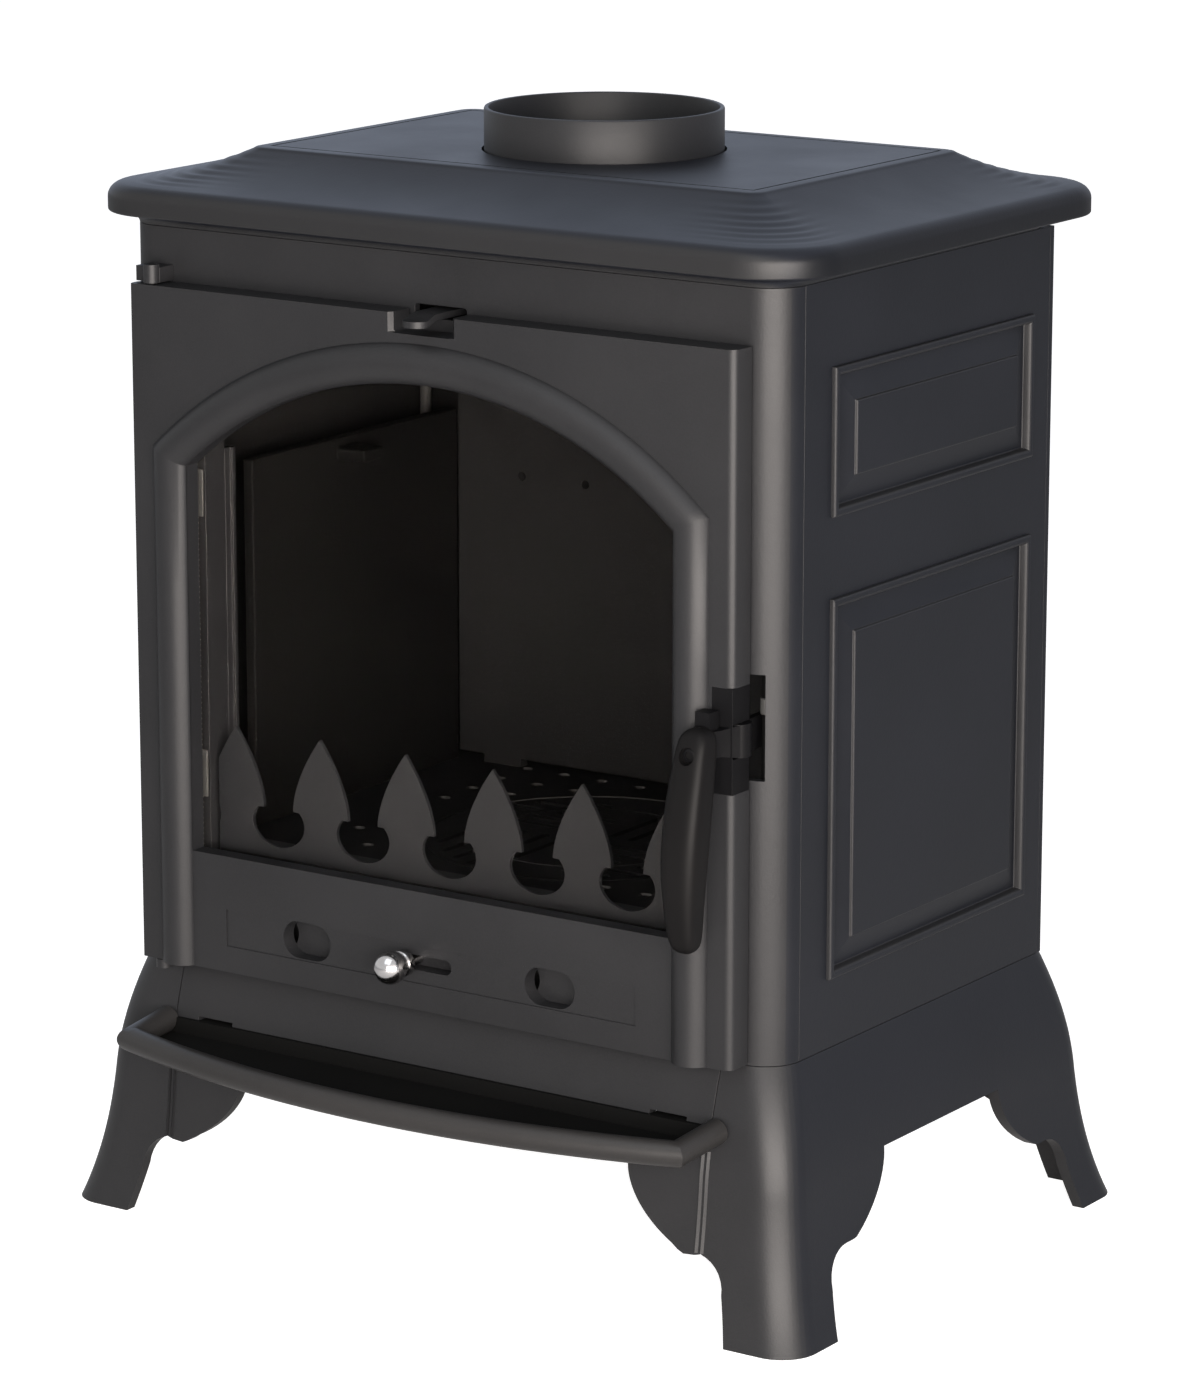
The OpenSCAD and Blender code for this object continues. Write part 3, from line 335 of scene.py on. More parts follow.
def makeNoise(tree, vector, scale, detail=3.0, roughness=0.5):
    return addNode(tree, "ShaderNodeTexNoise", {"Vector": vector, "Scale": scale, "Detail": detail,
                                                "Roughness": roughness}).outputs["Fac"]


def mixColour(tree, factor, a, b):
    a, b = ((*c, 1.0) if isinstance(c, tuple) else c for c in (a, b))
    return addNode(tree, "ShaderNodeMix", {"Factor": factor, 6: a, 7: b}, data_type="RGBA").outputs[2]


def remap(tree, value, low, high, toLow=0.0, toHigh=1.0, curve="LINEAR"):
    return addNode(tree, "ShaderNodeMapRange", {"Value": value, "From Min": low, "From Max": high, "To Min": toLow,
                                                "To Max": toHigh}, interpolation_type=curve).outputs["Result"]


def objectPlace(tree):
    return addNode(tree, "ShaderNodeTexCoord").outputs["Object"]


def axesOf(tree, vector):
    return addNode(tree, "ShaderNodeSeparateXYZ", {0: vector}).outputs


def facing(tree, kind="True Normal"):
    return axesOf(tree, addNode(tree, "ShaderNodeNewGeometry").outputs[kind])


# shader groups; every socket is a number
def nodeGroup(name, inputs):
    group = bpy.data.node_groups.new(name, "ShaderNodeTree")
    for socketName, value in inputs.items():
        socket = group.interface.new_socket(socketName, in_out="INPUT", socket_type="NodeSocketFloat")
        socket.default_value = value
    return group, addNode(group, "NodeGroupInput").outputs


def closeGroup(group, results):
    for socketName in results:
        group.interface.new_socket(socketName, in_out="OUTPUT", socket_type="NodeSocketFloat")
    addNode(group, "NodeGroupOutput", results)
    return group


# sand-cast surface under heat paint: fine grain, shallow pits, slow unevenness
def castSkinGroup():
    group, start = nodeGroup("castSkin", {"Grain Size": 900.0, "Pit Size": 260.0, "Patch Size": 9.0, "Seed": 0.0})
    vector = addNode(group, "ShaderNodeVectorMath", {0: objectPlace(group), 1: start["Seed"]}, operation="ADD")
    grain = makeNoise(group, vector, start["Grain Size"], 2.0, 0.6)
    pits = makeNoise(group, vector, start["Pit Size"], 3.0, 0.55)
    patch = makeNoise(group, vector, start["Patch Size"], 4.0, 0.55)
    return closeGroup(group, {"Height": mathNode(group, "MULTIPLY_ADD", pits, 0.8, grain),
                              "Patch": remap(group, patch, 0.3, 0.7), "Speckle": remap(group, grain, 0.35, 0.65)})


def ashDustGroup():       # thin dust that settles on faces that look up
    group, start = nodeGroup("ashDust", {"Amount": 0.3, "Size": 30.0})
    cloud = makeNoise(group, objectPlace(group), start["Size"], 5.0, 0.6)
    up = remap(group, facing(group, "Normal")["Z"], 0.6, 1.0)
    mask = mathNode(group, "MULTIPLY", up, remap(group, cloud, 0.35, 0.75))
    return closeGroup(group, {"Mask": mathNode(group, "MULTIPLY", mask, start["Amount"], clamp=True)})


def paintedShadeGroup():      # masks for painted shade: outer sides that look to the left or right get a darker, bluer paint, and the inside of the firebox is painted near black
    group, start = nodeGroup("bodyTone", {"From": 0.75, "To": 0.98, "Wall": 0.2403, "Front": faceY + 0.0285,
                                          "Back": faceY + 0.3125, "Low": 0.1668, "High": 0.6345})
    spot = axesOf(group, objectPlace(group))
    sideways = remap(group, mathNode(group, "ABSOLUTE", facing(group)["X"]), start["From"], start["To"],
                     curve="SMOOTHSTEP")
    outside = mathNode(group, "GREATER_THAN", mathNode(group, "ABSOLUTE", spot["X"]), start["Wall"])
    inside = mathNode(group, "SUBTRACT", 1.0, outside)
    for axis, operation, limit in (("Y", "GREATER_THAN", "Front"), ("Y", "LESS_THAN", "Back"),
                                   ("Z", "GREATER_THAN", "Low"), ("Z", "LESS_THAN", "High")):
        inside = mathNode(group, "MULTIPLY", inside, mathNode(group, operation, spot[axis], start[limit]))
    return closeGroup(group, {"Side": mathNode(group, "MULTIPLY", sideways, outside), "Soot": inside})


castSkin, ashDust, bodyTone = castSkinGroup(), ashDustGroup(), paintedShadeGroup()


# materials
def newMaterial(name):
    material = bpy.data.materials.new(name)
    material.use_nodes = True
    tree = material.node_tree
    return material, tree, tree.nodes["Principled BSDF"]


def useGroup(tree, group, **values):
    return addNode(tree, "ShaderNodeGroup", node_tree=group, **values)


def addBump(tree, height, strength, distance):
    return addNode(tree, "ShaderNodeBump", {"Strength": strength, "Distance": distance, "Height": height})


def paintedIron(name, dark, light, rough=0.5, grain=900.0, bump=0.35, seed=0.0, dust=0.0, specular=0.42, side=None,
                litRimColour=None, upright=None):
    material, tree, shader = newMaterial(name)
    surface = feed(tree, useGroup(tree, castSkin), {"Grain Size": grain, "Seed": seed}).outputs
    patch = surface["Patch"]
    speck = tuple(c * 1.35 for c in light)
    colour = mixColour(tree, mathNode(tree, "MULTIPLY", surface["Speckle"], 0.35), mixColour(tree, patch, dark, light),
                       speck)
    roughness = remap(tree, patch, 0.0, 1.0, rough - 0.04, rough + 0.05)
    # painted shade: outer faces that look sideways get a darker, bluer copy of the paint
    if side:
        shadeMasks = useGroup(tree, bodyTone).outputs
        colour = mixColour(tree, shadeMasks["Side"], colour, mixColour(tree, patch, *side))
        # painted shade: the inside of the firebox is painted near black
        colour = mixColour(tree, shadeMasks["Soot"], colour, (0.0006, 0.0006, 0.0006))
        roughness = mathNode(tree, "MULTIPLY_ADD", shadeMasks["Side"], 0.08, roughness)
        roughness = mathNode(tree, "MULTIPLY_ADD", shadeMasks["Soot"], 0.45, roughness)
    if dust:
        ash = feed(tree, useGroup(tree, ashDust), {"Amount": dust})
        colour = mixColour(tree, ash, colour, (0.22, 0.21, 0.2))
    if upright:           # painted light: rim faces that look forward get a lighter neutral paint and faces that look sideways a darker, bluer one
        axes = facing(tree, "Normal")
        colour = mixColour(tree, remap(tree, axes["Y"], -0.85, -0.62, 1.0, 0.0), colour, upright[0])
        sideways = remap(tree, mathNode(tree, "ABSOLUTE", axes["X"]), 0.62, 0.85)
        colour = mixColour(tree, sideways, colour, upright[1])
    if litRimColour:              # painted highlight: rims that slope to the front are painted lighter, as if lit
        axes = facing(tree)
        slope = mathNode(tree, "ABSOLUTE", mathNode(tree, "SUBTRACT", axes["Z"], 0.6))
        rim = mathNode(tree, "MULTIPLY", mathNode(tree, "LESS_THAN", slope, 0.33),
                       mathNode(tree, "LESS_THAN", axes["Y"], -0.25))
        colour = mixColour(tree, rim, colour, litRimColour)
    feed(tree, shader, {"Base Color": colour, "Roughness": roughness, "Specular IOR Level": specular,
                        "Normal": addBump(tree, surface["Height"], bump, 0.0004)})
    return material


# plated or turned steel with fine machining marks
def bareMetal(name, colour, rough, brushed=300.0, bump=0.1, metallic=1.0):
    material, tree, shader = newMaterial(name)
    marks = makeNoise(tree, objectPlace(tree), brushed, 4.0, 0.6)
    stain = remap(tree, makeNoise(tree, objectPlace(tree), 40.0, 3.0, 0.5), 0.35, 0.7)
    stained = mixColour(tree, stain, colour, tuple(c * 0.72 for c in colour))
    feed(tree, shader, {"Metallic": metallic, "Base Color": stained,
                        "Roughness": remap(tree, marks, 0.3, 0.7, rough * 0.8, rough * 1.25),
                        "Normal": addBump(tree, marks, bump, 0.0002)})
    return material


def glassMaterial(name):
    material, tree, shader = newMaterial(name)
    haze = makeNoise(tree, objectPlace(tree), 14.0, 4.0, 0.6)
    path = addNode(tree, "ShaderNodeLightPath").outputs      # lamps shine through into the firebox
    lit = mathNode(tree, "MAXIMUM", path["Is Shadow Ray"], path["Is Diffuse Ray"])
    feed(tree, shader, {"Base Color": (0.93, 0.9, 0.86, 1), "Transmission Weight": 1.0, "IOR": 1.03,
                        "Roughness": remap(tree, haze, 0.3, 0.8, 0.02, 0.07),
                        "Alpha": remap(tree, lit, 0.0, 1.0, 1.0, 0.12)})
    return material


def ropeMaterial(name):   # woven glass-fibre rope
    material, tree, shader = newMaterial(name)
    weave = addNode(tree, "ShaderNodeTexWave", {"Scale": 260.0, "Distortion": 3.0, "Vector": objectPlace(tree)},
                    wave_type="BANDS", bands_direction="DIAGONAL").outputs["Fac"]
    feed(tree, shader, {"Base Color": mixColour(tree, weave, (0.16, 0.155, 0.14), (0.34, 0.33, 0.3)), "Roughness": 0.9,
                        "Normal": addBump(tree, weave, 0.6, 0.0006)})
    return material


# the side colours are painted shade for the outer faces that look sideways
ironBody = paintedIron("ironBody", (0.0086, 0.0088, 0.0096), (0.0114, 0.0116, 0.0126), 0.42, bump=0.16, seed=1.3,
                       specular=0.2, side=((0.0030, 0.0036, 0.0054), (0.0042, 0.0049, 0.0072)))
# painted light: the top plate gets a bluer copy of the body paint for the cool light from above
ironTop = paintedIron("ironTop", (0.0034, 0.0040, 0.0062), (0.0048, 0.0056, 0.0084), 0.44, bump=0.16, seed=7.7,
                      specular=0.2, upright=((0.0100, 0.0102, 0.0110), (0.0022, 0.0026, 0.0038)))
ironRaw = paintedIron("ironRaw", (0.0060, 0.0061, 0.0063), (0.0085, 0.0086, 0.0088), 0.7, grain=500.0, bump=0.25,
                      seed=2.9, dust=0.04, specular=0.1)
# painted highlight: a lighter copy of the body paint for the shelf rim's lit front
ironRim = paintedIron("ironRim", (0.0120, 0.0116, 0.0116), (0.0155, 0.0150, 0.0150), 0.42, bump=0.16, seed=4.4,
                      specular=0.22)
ironShade = paintedIron("ironShade", (0.0008, 0.0008, 0.0008), (0.0014, 0.0014, 0.0013), 0.75, grain=500.0, bump=0.25,
                        seed=8.3, specular=0.08)
# painted shade: a near-black copy of the raw iron for the shaded firebox floor, with painted highlights on the hole
# rims that face the front
ironFloor = paintedIron("ironFloor", (0.0014, 0.0014, 0.0015), (0.0022, 0.0022, 0.0023), 0.7, specular=0.1,
                        litRimColour=(0.045, 0.044, 0.043))
ironGuard = paintedIron("ironGuard", (0.0050, 0.0054, 0.0064), (0.0064, 0.0069, 0.0080), 0.52, grain=700.0, bump=0.2,
                        seed=5.5, specular=0.2)
blackLatch = paintedIron("blackLatch", (0.0020, 0.0020, 0.0023), (0.0034, 0.0034, 0.0038), 0.42, grain=1400.0,
                         bump=0.15, seed=3.3, specular=0.06)
gripBlack = paintedIron("gripBlack", (0.0022, 0.0021, 0.0022), (0.0034, 0.0032, 0.0033), 0.5, grain=2200.0,
                        bump=0.1, seed=6.1, specular=0.08)
zinc = bareMetal("zinc", (0.060, 0.060, 0.058), 0.5, metallic=0.35)
rodSteel = bareMetal("rodSteel", (0.09, 0.09, 0.088), 0.5, metallic=0.35)
chrome = bareMetal("chrome", (0.50, 0.49, 0.49), 0.17, brushed=900.0, bump=0.02)
clearGlass, rope = glassMaterial("clearGlass"), ropeMaterial("rope")

slotMaterials = {"casting_front": ironBody, "casting_side": ironBody, "casting_top": ironTop,
                 "raw_iron": ironRaw, "guard_iron": ironGuard, "zinc": zinc, "chrome": chrome,
                 "latch_black": blackLatch, "grip_black": gripBlack, "glass": clearGlass, "rope": rope}
for entry in frame["record"]["subparts"]:
    node = cadNodes[entry["node"]]
    for index in range(len(node.data.materials)):
        node.material_slots[index].material = slotMaterials[entry["material_slot"]]
print("materials ready:", len(slotMaterials))


# base and legs
base = {"height": 166.5, "footFlare": 35.5, "rear": 14, "wall": 8, "cornerRadius": 24,
        "seam": 204.0, "seamGap": 0.7, "skirt": 98, "foot": 50, "cusp": 51.5, "slots": (159, 186, 125.4, 131.2),
        "edge": 1.3, "cuspRadius": 22, "footSpread": 7, "lobeStart": 37, "lobeSpan": 44, "lobeLift": 1.5,
        "lobeDip": 2.6, "lobeAt": 84, "lobeHalf": 11, "waist": (0.54, 0.507),
        "jointLines": ((200.2, 201.8), (204.2, 205.8)), "jointRise": 1.2, "jointZ": (51.8, 114)}


def ease(t, length, v0, s0, v1, s1):
    t2, t3 = t * t, t * t * t
    return ((2 * t3 - 3 * t2 + 1) * v0 + (t3 - 2 * t2 + t) * length * s0
            + (3 * t2 - 2 * t3) * v1 + (t3 - t2) * length * s1)


def flare(z):
    waistZ, waistE = base["height"] * base["waist"][0], base["footFlare"] * base["waist"][1]
    if z > waistZ:
        span = base["height"] - waistZ
        return ease((base["height"] - z) / span, span, 0, 0.36, waistE, 0.085)
    return ease((waistZ - z) / waistZ, waistZ, waistE, 0.085, base["footFlare"], 0.35)


# rows (height, distance from the foot's tip) up the inner edge of a leg
def gapEdge():
    foot, cusp, skirt, radius = base["foot"], base["cusp"], base["skirt"], base["cuspRadius"]
    spread, lift = base["footSpread"], base["lobeLift"]
    rows = [(z, foot + spread * z / (cusp - radius)) for z in (0, 6, 12, 18, 24, cusp - radius)]
    for i in range(1, 9):
        a = math.radians(180 - 90 * i / 8)
        rows.append((cusp - radius + radius * math.sin(a), foot + spread + radius + radius * math.cos(a)))
    for i in range(17):
        t = i / 16
        s, c = math.sin(math.pi / 2 * t), 1 - math.cos(math.pi / 2 * t)
        rows.append((cusp - lift + (skirt - cusp + lift) * (0.62 * t + 0.38 * c) + (lift + 0.01 if i == 0 else 0),
                     foot + base["lobeStart"] + base["lobeSpan"] * (0.94 * s + 0.06 * t)))
    return sorted(rows)


# one level of the right front leg: front wing, rounded corner, side wing
def legRow(z, frontReach, sideReach, inset, wings=10, arc=10):
    e = flare(z)
    halfX, frontY = body["halfWidth"] + e, -e
    radius = base["cornerRadius"]
    cx, cy = halfX - radius, frontY + radius
    x0 = body["halfWidth"] + base["footFlare"] - frontReach
    y1 = sideReach - base["footFlare"]
    points = [(x0 + (cx - x0) * i / wings, frontY + inset, z) for i in range(wings)]
    points += [(x, y, z) for x, y in arcPoints(cx, cy, radius - inset, -90, 0, arc)]
    points += [(halfX - inset, cy + (y1 - cy) * i / wings, z) for i in range(1, wings + 1)]
    return points


def baseSide(name, sign):
    back = body["depth"] + base["rear"]
    seamReach = body["halfWidth"] + base["footFlare"] - base["seam"] - base["seamGap"] / 2
    rows = gapEdge()
    rows += [(base["skirt"] + (base["height"] - base["skirt"]) * i / 12, rows[-1][1]) for i in range(1, 13)]
    outer, inner, faces = [], [], []
    below = None              # first point and height of the row below
    for z, reach in rows:
        first = len(outer)
        for inset, store in ((0, outer), (base["wall"], inner)):
            front = legRow(z, min(reach, seamReach), reach, inset)
            rear = [(x, back - y, zz) for x, y, zz in reversed(front)]
            x, y = front[-1][0], front[-1][1]
            middle = [(x, y + (rear[0][1] - y) * i / 8, z) for i in range(1, 8)]
            store.extend(front + middle + rear)
        if below:
            for i in range(2 * len(front) + len(middle) - 1):
                if below[1] >= base["skirt"] or not len(front) - 1 <= i < len(front) + len(middle):
                    a, b = below[0] + i, first + i
                    faces.append((a, a + 1, b + 1, b))
        below = (first, z)
    outer, inner = ([(sign * x, y, z) for x, y, z in points] for points in (outer, inner))
    return closedPiece(name, *shell(outer, inner, faces))


# skirt between the two side castings, with the lobes that meet the legs
def baseSkirt(name, front):
    tip = body["halfWidth"] + base["footFlare"]
    back = body["depth"] + base["rear"]
    end = base["seam"] - base["seamGap"] / 2
    columns = {(end, base["cusp"] - 0.4)}
    for z, reach in gapEdge():
        if tip - reach < end:
            near = max(0.0, 1 - abs(reach - base["lobeAt"]) / base["lobeHalf"])
            columns.add((tip - reach, z - base["lobeDip"] * near * near * (3 - 2 * near)))
    right = sorted(columns)
    innerSpan = right[0][0]
    xs = [(-x, z) for x, z in reversed(right)]
    xs += [(-innerSpan + 2 * innerSpan * i / 16, base["skirt"]) for i in range(1, 16)] + right
    levels = 14
    outer, inner, faces = [], [], []
    for x, low in xs:
        for j in range(levels + 1):
            z = low + (base["height"] - low) * j / levels
            for points, y in ((outer, -flare(z)), (inner, -flare(z) + base["wall"])):
                points.append((x, y if front else back - y, z))
    for i in range(len(xs) - 1):
        for j in range(levels):
            a = i * (levels + 1) + j
            faces.append((a, a + levels + 1, a + levels + 2, a + 1))
    return closedPiece(name, *shell(outer, inner, faces))


for name, sign, node in (("baseCastingRight", 1, "base_side_right"), ("baseCastingLeft", -1, "base_side_left")):
    finishPiece(baseSide(name, sign), ironBody, "root", node, edge=base["edge"], angle=40, slot="casting_side")
for name, front, node in (("baseFrontSkirt", True, "base_front"), ("baseRearSkirt", False, "base_rear")):
    casting = baseSkirt(name, front)
    if front:
        x0, x1, z0, z1 = base["slots"]
        cut(casting, *[prism("slot", rectangle(a, -30, b, 12), z0, z1) for a, b in ((x0, x1), (-x1, -x0))])
    finishPiece(casting, ironBody, "root", node, edge=base["edge"], angle=40, slot="casting_front")
lines = []
z0, z1 = base["jointZ"]
for side in (-1, 1):
    for high, low in base["jointLines"]:
        rings = []
        for i in range(21):
            z = z0 + (z1 - z0) * i / 20
            y = -flare(z)
            rings.append([(side * (high - 0.15), y + 0.4, z), (side * high, y - base["jointRise"], z),
                          (side * low, y - 0.02, z), (side * low, y + 0.4, z)])
        lines.append(skinned("line", rings))
finishPiece(join("jointLines", *lines), ironBody, "root", smooth=30, slot="casting_front")
print("base ready")


# top plate and flue
top = {"rimSide": 22, "rimFront": 19, "rimRear": 41, "cornerRadius": 47, "noseRadius": 9, "noseTop": 660,
       "slopeRun": 76, "slopeFront": 75, "slopeRear": 63, "panelTop": 680, "panelRadius": 10, "rippleHeight": 0.32,
       "ripplePitch": 8.5, "grooveWidth": 1.6, "grooveInset": 9.5, "holeRadius": 76.5,
       "neck": ((0, 635), (0.02, 636.2), (0.08, 638), (0.2, 639.6), (0.42, 640.8), (0.7, 641.5), (0.94, 641.7)),
       "lowEdge": (1.6, 643.4), "crest": ((76.5, 679.2), (77.3, 679.75), (78.6, 680)),
       "cavity": ((236, 7, 308, 18, 630), (236, 7, 308, 18, 646), (185, 61, 289, 8, 674))}
flue = {"y": 174.8,
        "profile": [(72, 668), (91, 668), (91, 673.4), (90.4, 674), (75.6, 674), (75, 674.6), (75, 705.3),
                    (74.6, 706.1), (74, 706.4), (73, 706.4), (72.3, 706.1), (72, 705.5)]}


def plateRing(u, z, ripple=0.0):
    k = min(1, max(0, u / top["slopeRun"]))
    radius = top["cornerRadius"] + (top["panelRadius"] - top["cornerRadius"]) * k
    steps, straights, run = 14, 24, top["slopeRun"]
    ring = roundedRing(body["halfWidth"] + top["rimSide"] - u, -top["rimFront"] + u * top["slopeFront"] / run,
                       body["depth"] + top["rimRear"] - u * top["slopeRear"] / run, radius, z, steps, straights)
    if not ripple:
        return ring
    result = []
    for index, (x, y, zz) in enumerate(ring):          # ripples fade beside the corners
        i = index % (steps + straights)
        away = min(i - steps, steps + straights - i) / straights
        weight = 1.0 if i <= steps else max(0.0, 1 - away / 0.1) ** 2
        result.append((x, y, zz + ripple * weight))
    return result


def topPlateRings():
    half, depth, nose = body["halfWidth"], body["depth"], top["noseRadius"]
    rings = [roundedRing(half + 20 * k, -17 * k, depth + 39 * k, 24 + 21 * k, z, 14, 24) for k, z in top["neck"]]
    r, low = top["lowEdge"]
    for i in range(1, 6):                              # small lower edge of the rim
        a = math.radians(-90 + 18 * i)
        rings.append(plateRing(r - r * math.cos(a), low + r * math.sin(a)))
    for i in range(0, 9):                              # bullnose
        a = math.radians(10 * i)
        rings.append(plateRing(nose * (1 - math.cos(a)), top["noseTop"] - nose + nose * math.sin(a)))
    run, steps = top["slopeRun"] - nose, 44
    for i in range(1, steps + 1):                      # concave slope
        t = i / steps
        u = nose + run * t
        fade = math.sin(math.pi * min(1, t * 1.05)) ** 0.5 if 0 < t < 0.95 else 0
        wave = top["rippleHeight"] * fade * math.sin(2 * math.pi * (u - 10) / top["ripplePitch"])
        rings.append(plateRing(u, ease(t, run, top["noseTop"], 0.12, top["panelTop"] - 1.2, 0.5), wave))
    return rings + [plateRing(u, z) for u, z in top["crest"]]


topPlate = skinned("topPlateCasting", topPlateRings())
cavity = skinned("cavity", [roundedRing(*level) for level in top["cavity"]])
flueHole = lathe("flueHole", [(top["holeRadius"], 630), (top["holeRadius"], 700)], (0, flue["y"], 0), "z", 96)
gx = body["halfWidth"] + top["rimSide"] - (top["slopeRun"] + top["grooveInset"])
g0 = top["slopeFront"] - top["rimFront"] + top["grooveInset"] + 2
g1 = body["depth"] + top["rimRear"] - top["slopeRear"] - top["grooveInset"]
gw = top["grooveWidth"]
grooves = [prism("groove", rectangle(*r), top["panelTop"] - 1.1, top["panelTop"] + 1) for r in (
    (-gx, g0, gx, g0 + gw), (-gx, g1 - gw, gx, g1), (-gx, g0 + gw, gw - gx, g1 - gw), (gx - gw, g0 + gw, gx, g1 - gw))]
cut(topPlate, cavity, flueHole, *grooves)
finishPiece(topPlate, ironTop, "root", "top_plate", smooth=32, slot="casting_top")
finishPiece(turnedRing("flueCollar", flue["profile"], (0, flue["y"], 0), 144), ironBody, "root", "flue_collar",
            smooth=30, slot="casting_front")
print("top plate ready")


# body panels
panel = {"openHalf": 182, "openLow": 182, "openHigh": 572, "openRadius": 14, "flange": 4, "flangeDepth": 20,
         "leverSlot": (-19.1, 596, 19.1, 604), "latchSlot": (199, 342, 230.5, 406),
         "beadY": (19.8, 25, 28), "beadZ": (243, 495)}


def openingOutline(grow):
    return roundedRectangle(-panel["openHalf"] - grow, panel["openLow"] - grow, panel["openHalf"] + grow,
                            panel["openHigh"] + grow, panel["openRadius"] + grow)


def frontPanel():
    wall, corner, half = body["wall"], body["cornerRadius"], body["halfWidth"]
    outline = []
    for radius, turns in ((corner, ((180, 270), (270, 360))), (corner - wall, ((360, 270), (270, 180)))):
        for a, b in turns:
            cx = (half - corner) * (1 if a + b > 540 else -1)
            outline += arcPoints(cx, corner, radius, a, b, 20 if radius == corner else 16)
    casting = prism("frontPanelCasting", outline, body["bottom"] + 0.3, body["top"] - 0.3)
    opening = openingOutline(0)
    cut(casting, slab("opening", opening, -5, 12), slab("leverSlot", roundedRectangle(*panel["leverSlot"], 2), -5, 12),
        slab("latchSlot", rectangle(*panel["latchSlot"]), -5, 16))
    near, far = wall - 0.5, panel["flangeDepth"]
    lip = [[(x0, near, z0), (x0, far, z0), (x1, far, z1), (x1, near, z1)]
           for (x0, z0), (x1, z1) in zip(openingOutline(panel["flange"]), opening)]
    flange = skinned("flange", lip + lip[:1], capped=False)
    beads = []
    half, (y0, y1, y2) = panel["openHalf"], panel["beadY"]
    for side in (-1, 1):
        outline = [(side * (half + 3.6), y0), (side * (half - 0.1), y0), (side * (half - 0.1), y1),
                   (side * (half - 2), y1), (side * (half - 2), y2), (side * (half + 3.6), y2)]
        beads.append(prism("bead", outline, *panel["beadZ"]))
    return join("frontPanelCasting", casting, flange, *beads)


finishPiece(frontPanel(), ironBody, "root", "front_panel", edge=0.8, slot="casting_front")

moulding = {"left": 54, "right": 288, "frames": ((210, 444), (493, 583)),
            "profile": [(0, -4.2), (0, 1.4), (0.5, 2.6), (1.6, 3.2), (3.6, 3.2), (4.8, 2.5), (5.6, 1.0), (5.9, -1.9),
                        (6.3, -2.3), (7.2, -2.4), (22.4, 2.2), (22.7, 3.5), (23.5, 4.0), (25, 4.0)]}


def sideMoulding(z0, z1):
    rings = []
    for inset, height in moulding["profile"]:
        x = body["halfWidth"] + height
        outline = rectangle(moulding["left"] + inset, z0 + inset, moulding["right"] - inset, z1 - inset)
        rings.append([(x, y, z) for y, z in outline])
    return skinned("moulding", rings)


for name, side, node in (("sidePanelRight", 1, "side_panel_right"), ("sidePanelLeft", -1, "side_panel_left")):
    block = prism("block", rectangle(body["halfWidth"] - 5, 24.15, body["halfWidth"], 309.85), 166.8, 634.7)
    for low, high in moulding["frames"]:
        pocket = rectangle(moulding["left"] + 1.2, low + 1.2, moulding["right"] - 1.2, high - 1.2)
        cut(block, sideSlab("pocket", pocket, body["halfWidth"] - 4, body["halfWidth"] + 5))
    panelPiece = join(name, block, *[sideMoulding(*f) for f in moulding["frames"]])
    if side < 0:
        mirrorX(panelPiece)
    finishPiece(panelPiece, ironBody, "root", node, edge=0.45, angle=25, slot="casting_side")

rear = plate("rearPanelCasting", rectangle(-242.9, 166.8, 242.9, 634.7), 310, 315, 0.8)
cut(rear, slab("relief", roundedRectangle(-207, 202.5, 207, 599, 12), 313.5, 320))
finishPiece(rear, ironBody, "root", "rear_panel", smooth=40, slot="casting_front")
print("body panels ready")


# door
door = {"right": 223, "bottom": 168, "top": 601, "front": -20.5, "rear": -2, "chamfer": 5,
        "hingeX": -209.5, "hingeY": -15.3, "knuckle": 13.5, "pin": 3.15, "edge": 0.9,
        "archRadius": 299, "archCentre": 284.5, "archWidth": 25, "archHeight": 8, "jamb": 206, "sill": 243.5,
        "airHoles": 92, "airZ": 198, "airLength": 37, "airHeight": 24, "recess": (155, -13, 11),
        "notch": (22, 588.7), "notchBevel": 2.6, "latch": (208.5, 337, 401)}


def windowOutline(grow, steps=64):
    radius = door["archRadius"] - door["archWidth"] + grow
    half = door["jamb"] - door["archWidth"] + grow
    spread = math.degrees(math.asin(half / radius))
    points = arcPoints(0, door["archCentre"], radius, 90 - spread, 90 + spread, steps)
    return [(-half, door["sill"] - grow), (half, door["sill"] - grow)] + points


def stadium(cx, cz, length, height, steps=12):
    r = height / 2
    return (arcPoints(cx + length / 2 - r, cz, r, -90, 90, steps)
            + arcPoints(cx - length / 2 + r, cz, r, 90, 270, steps))


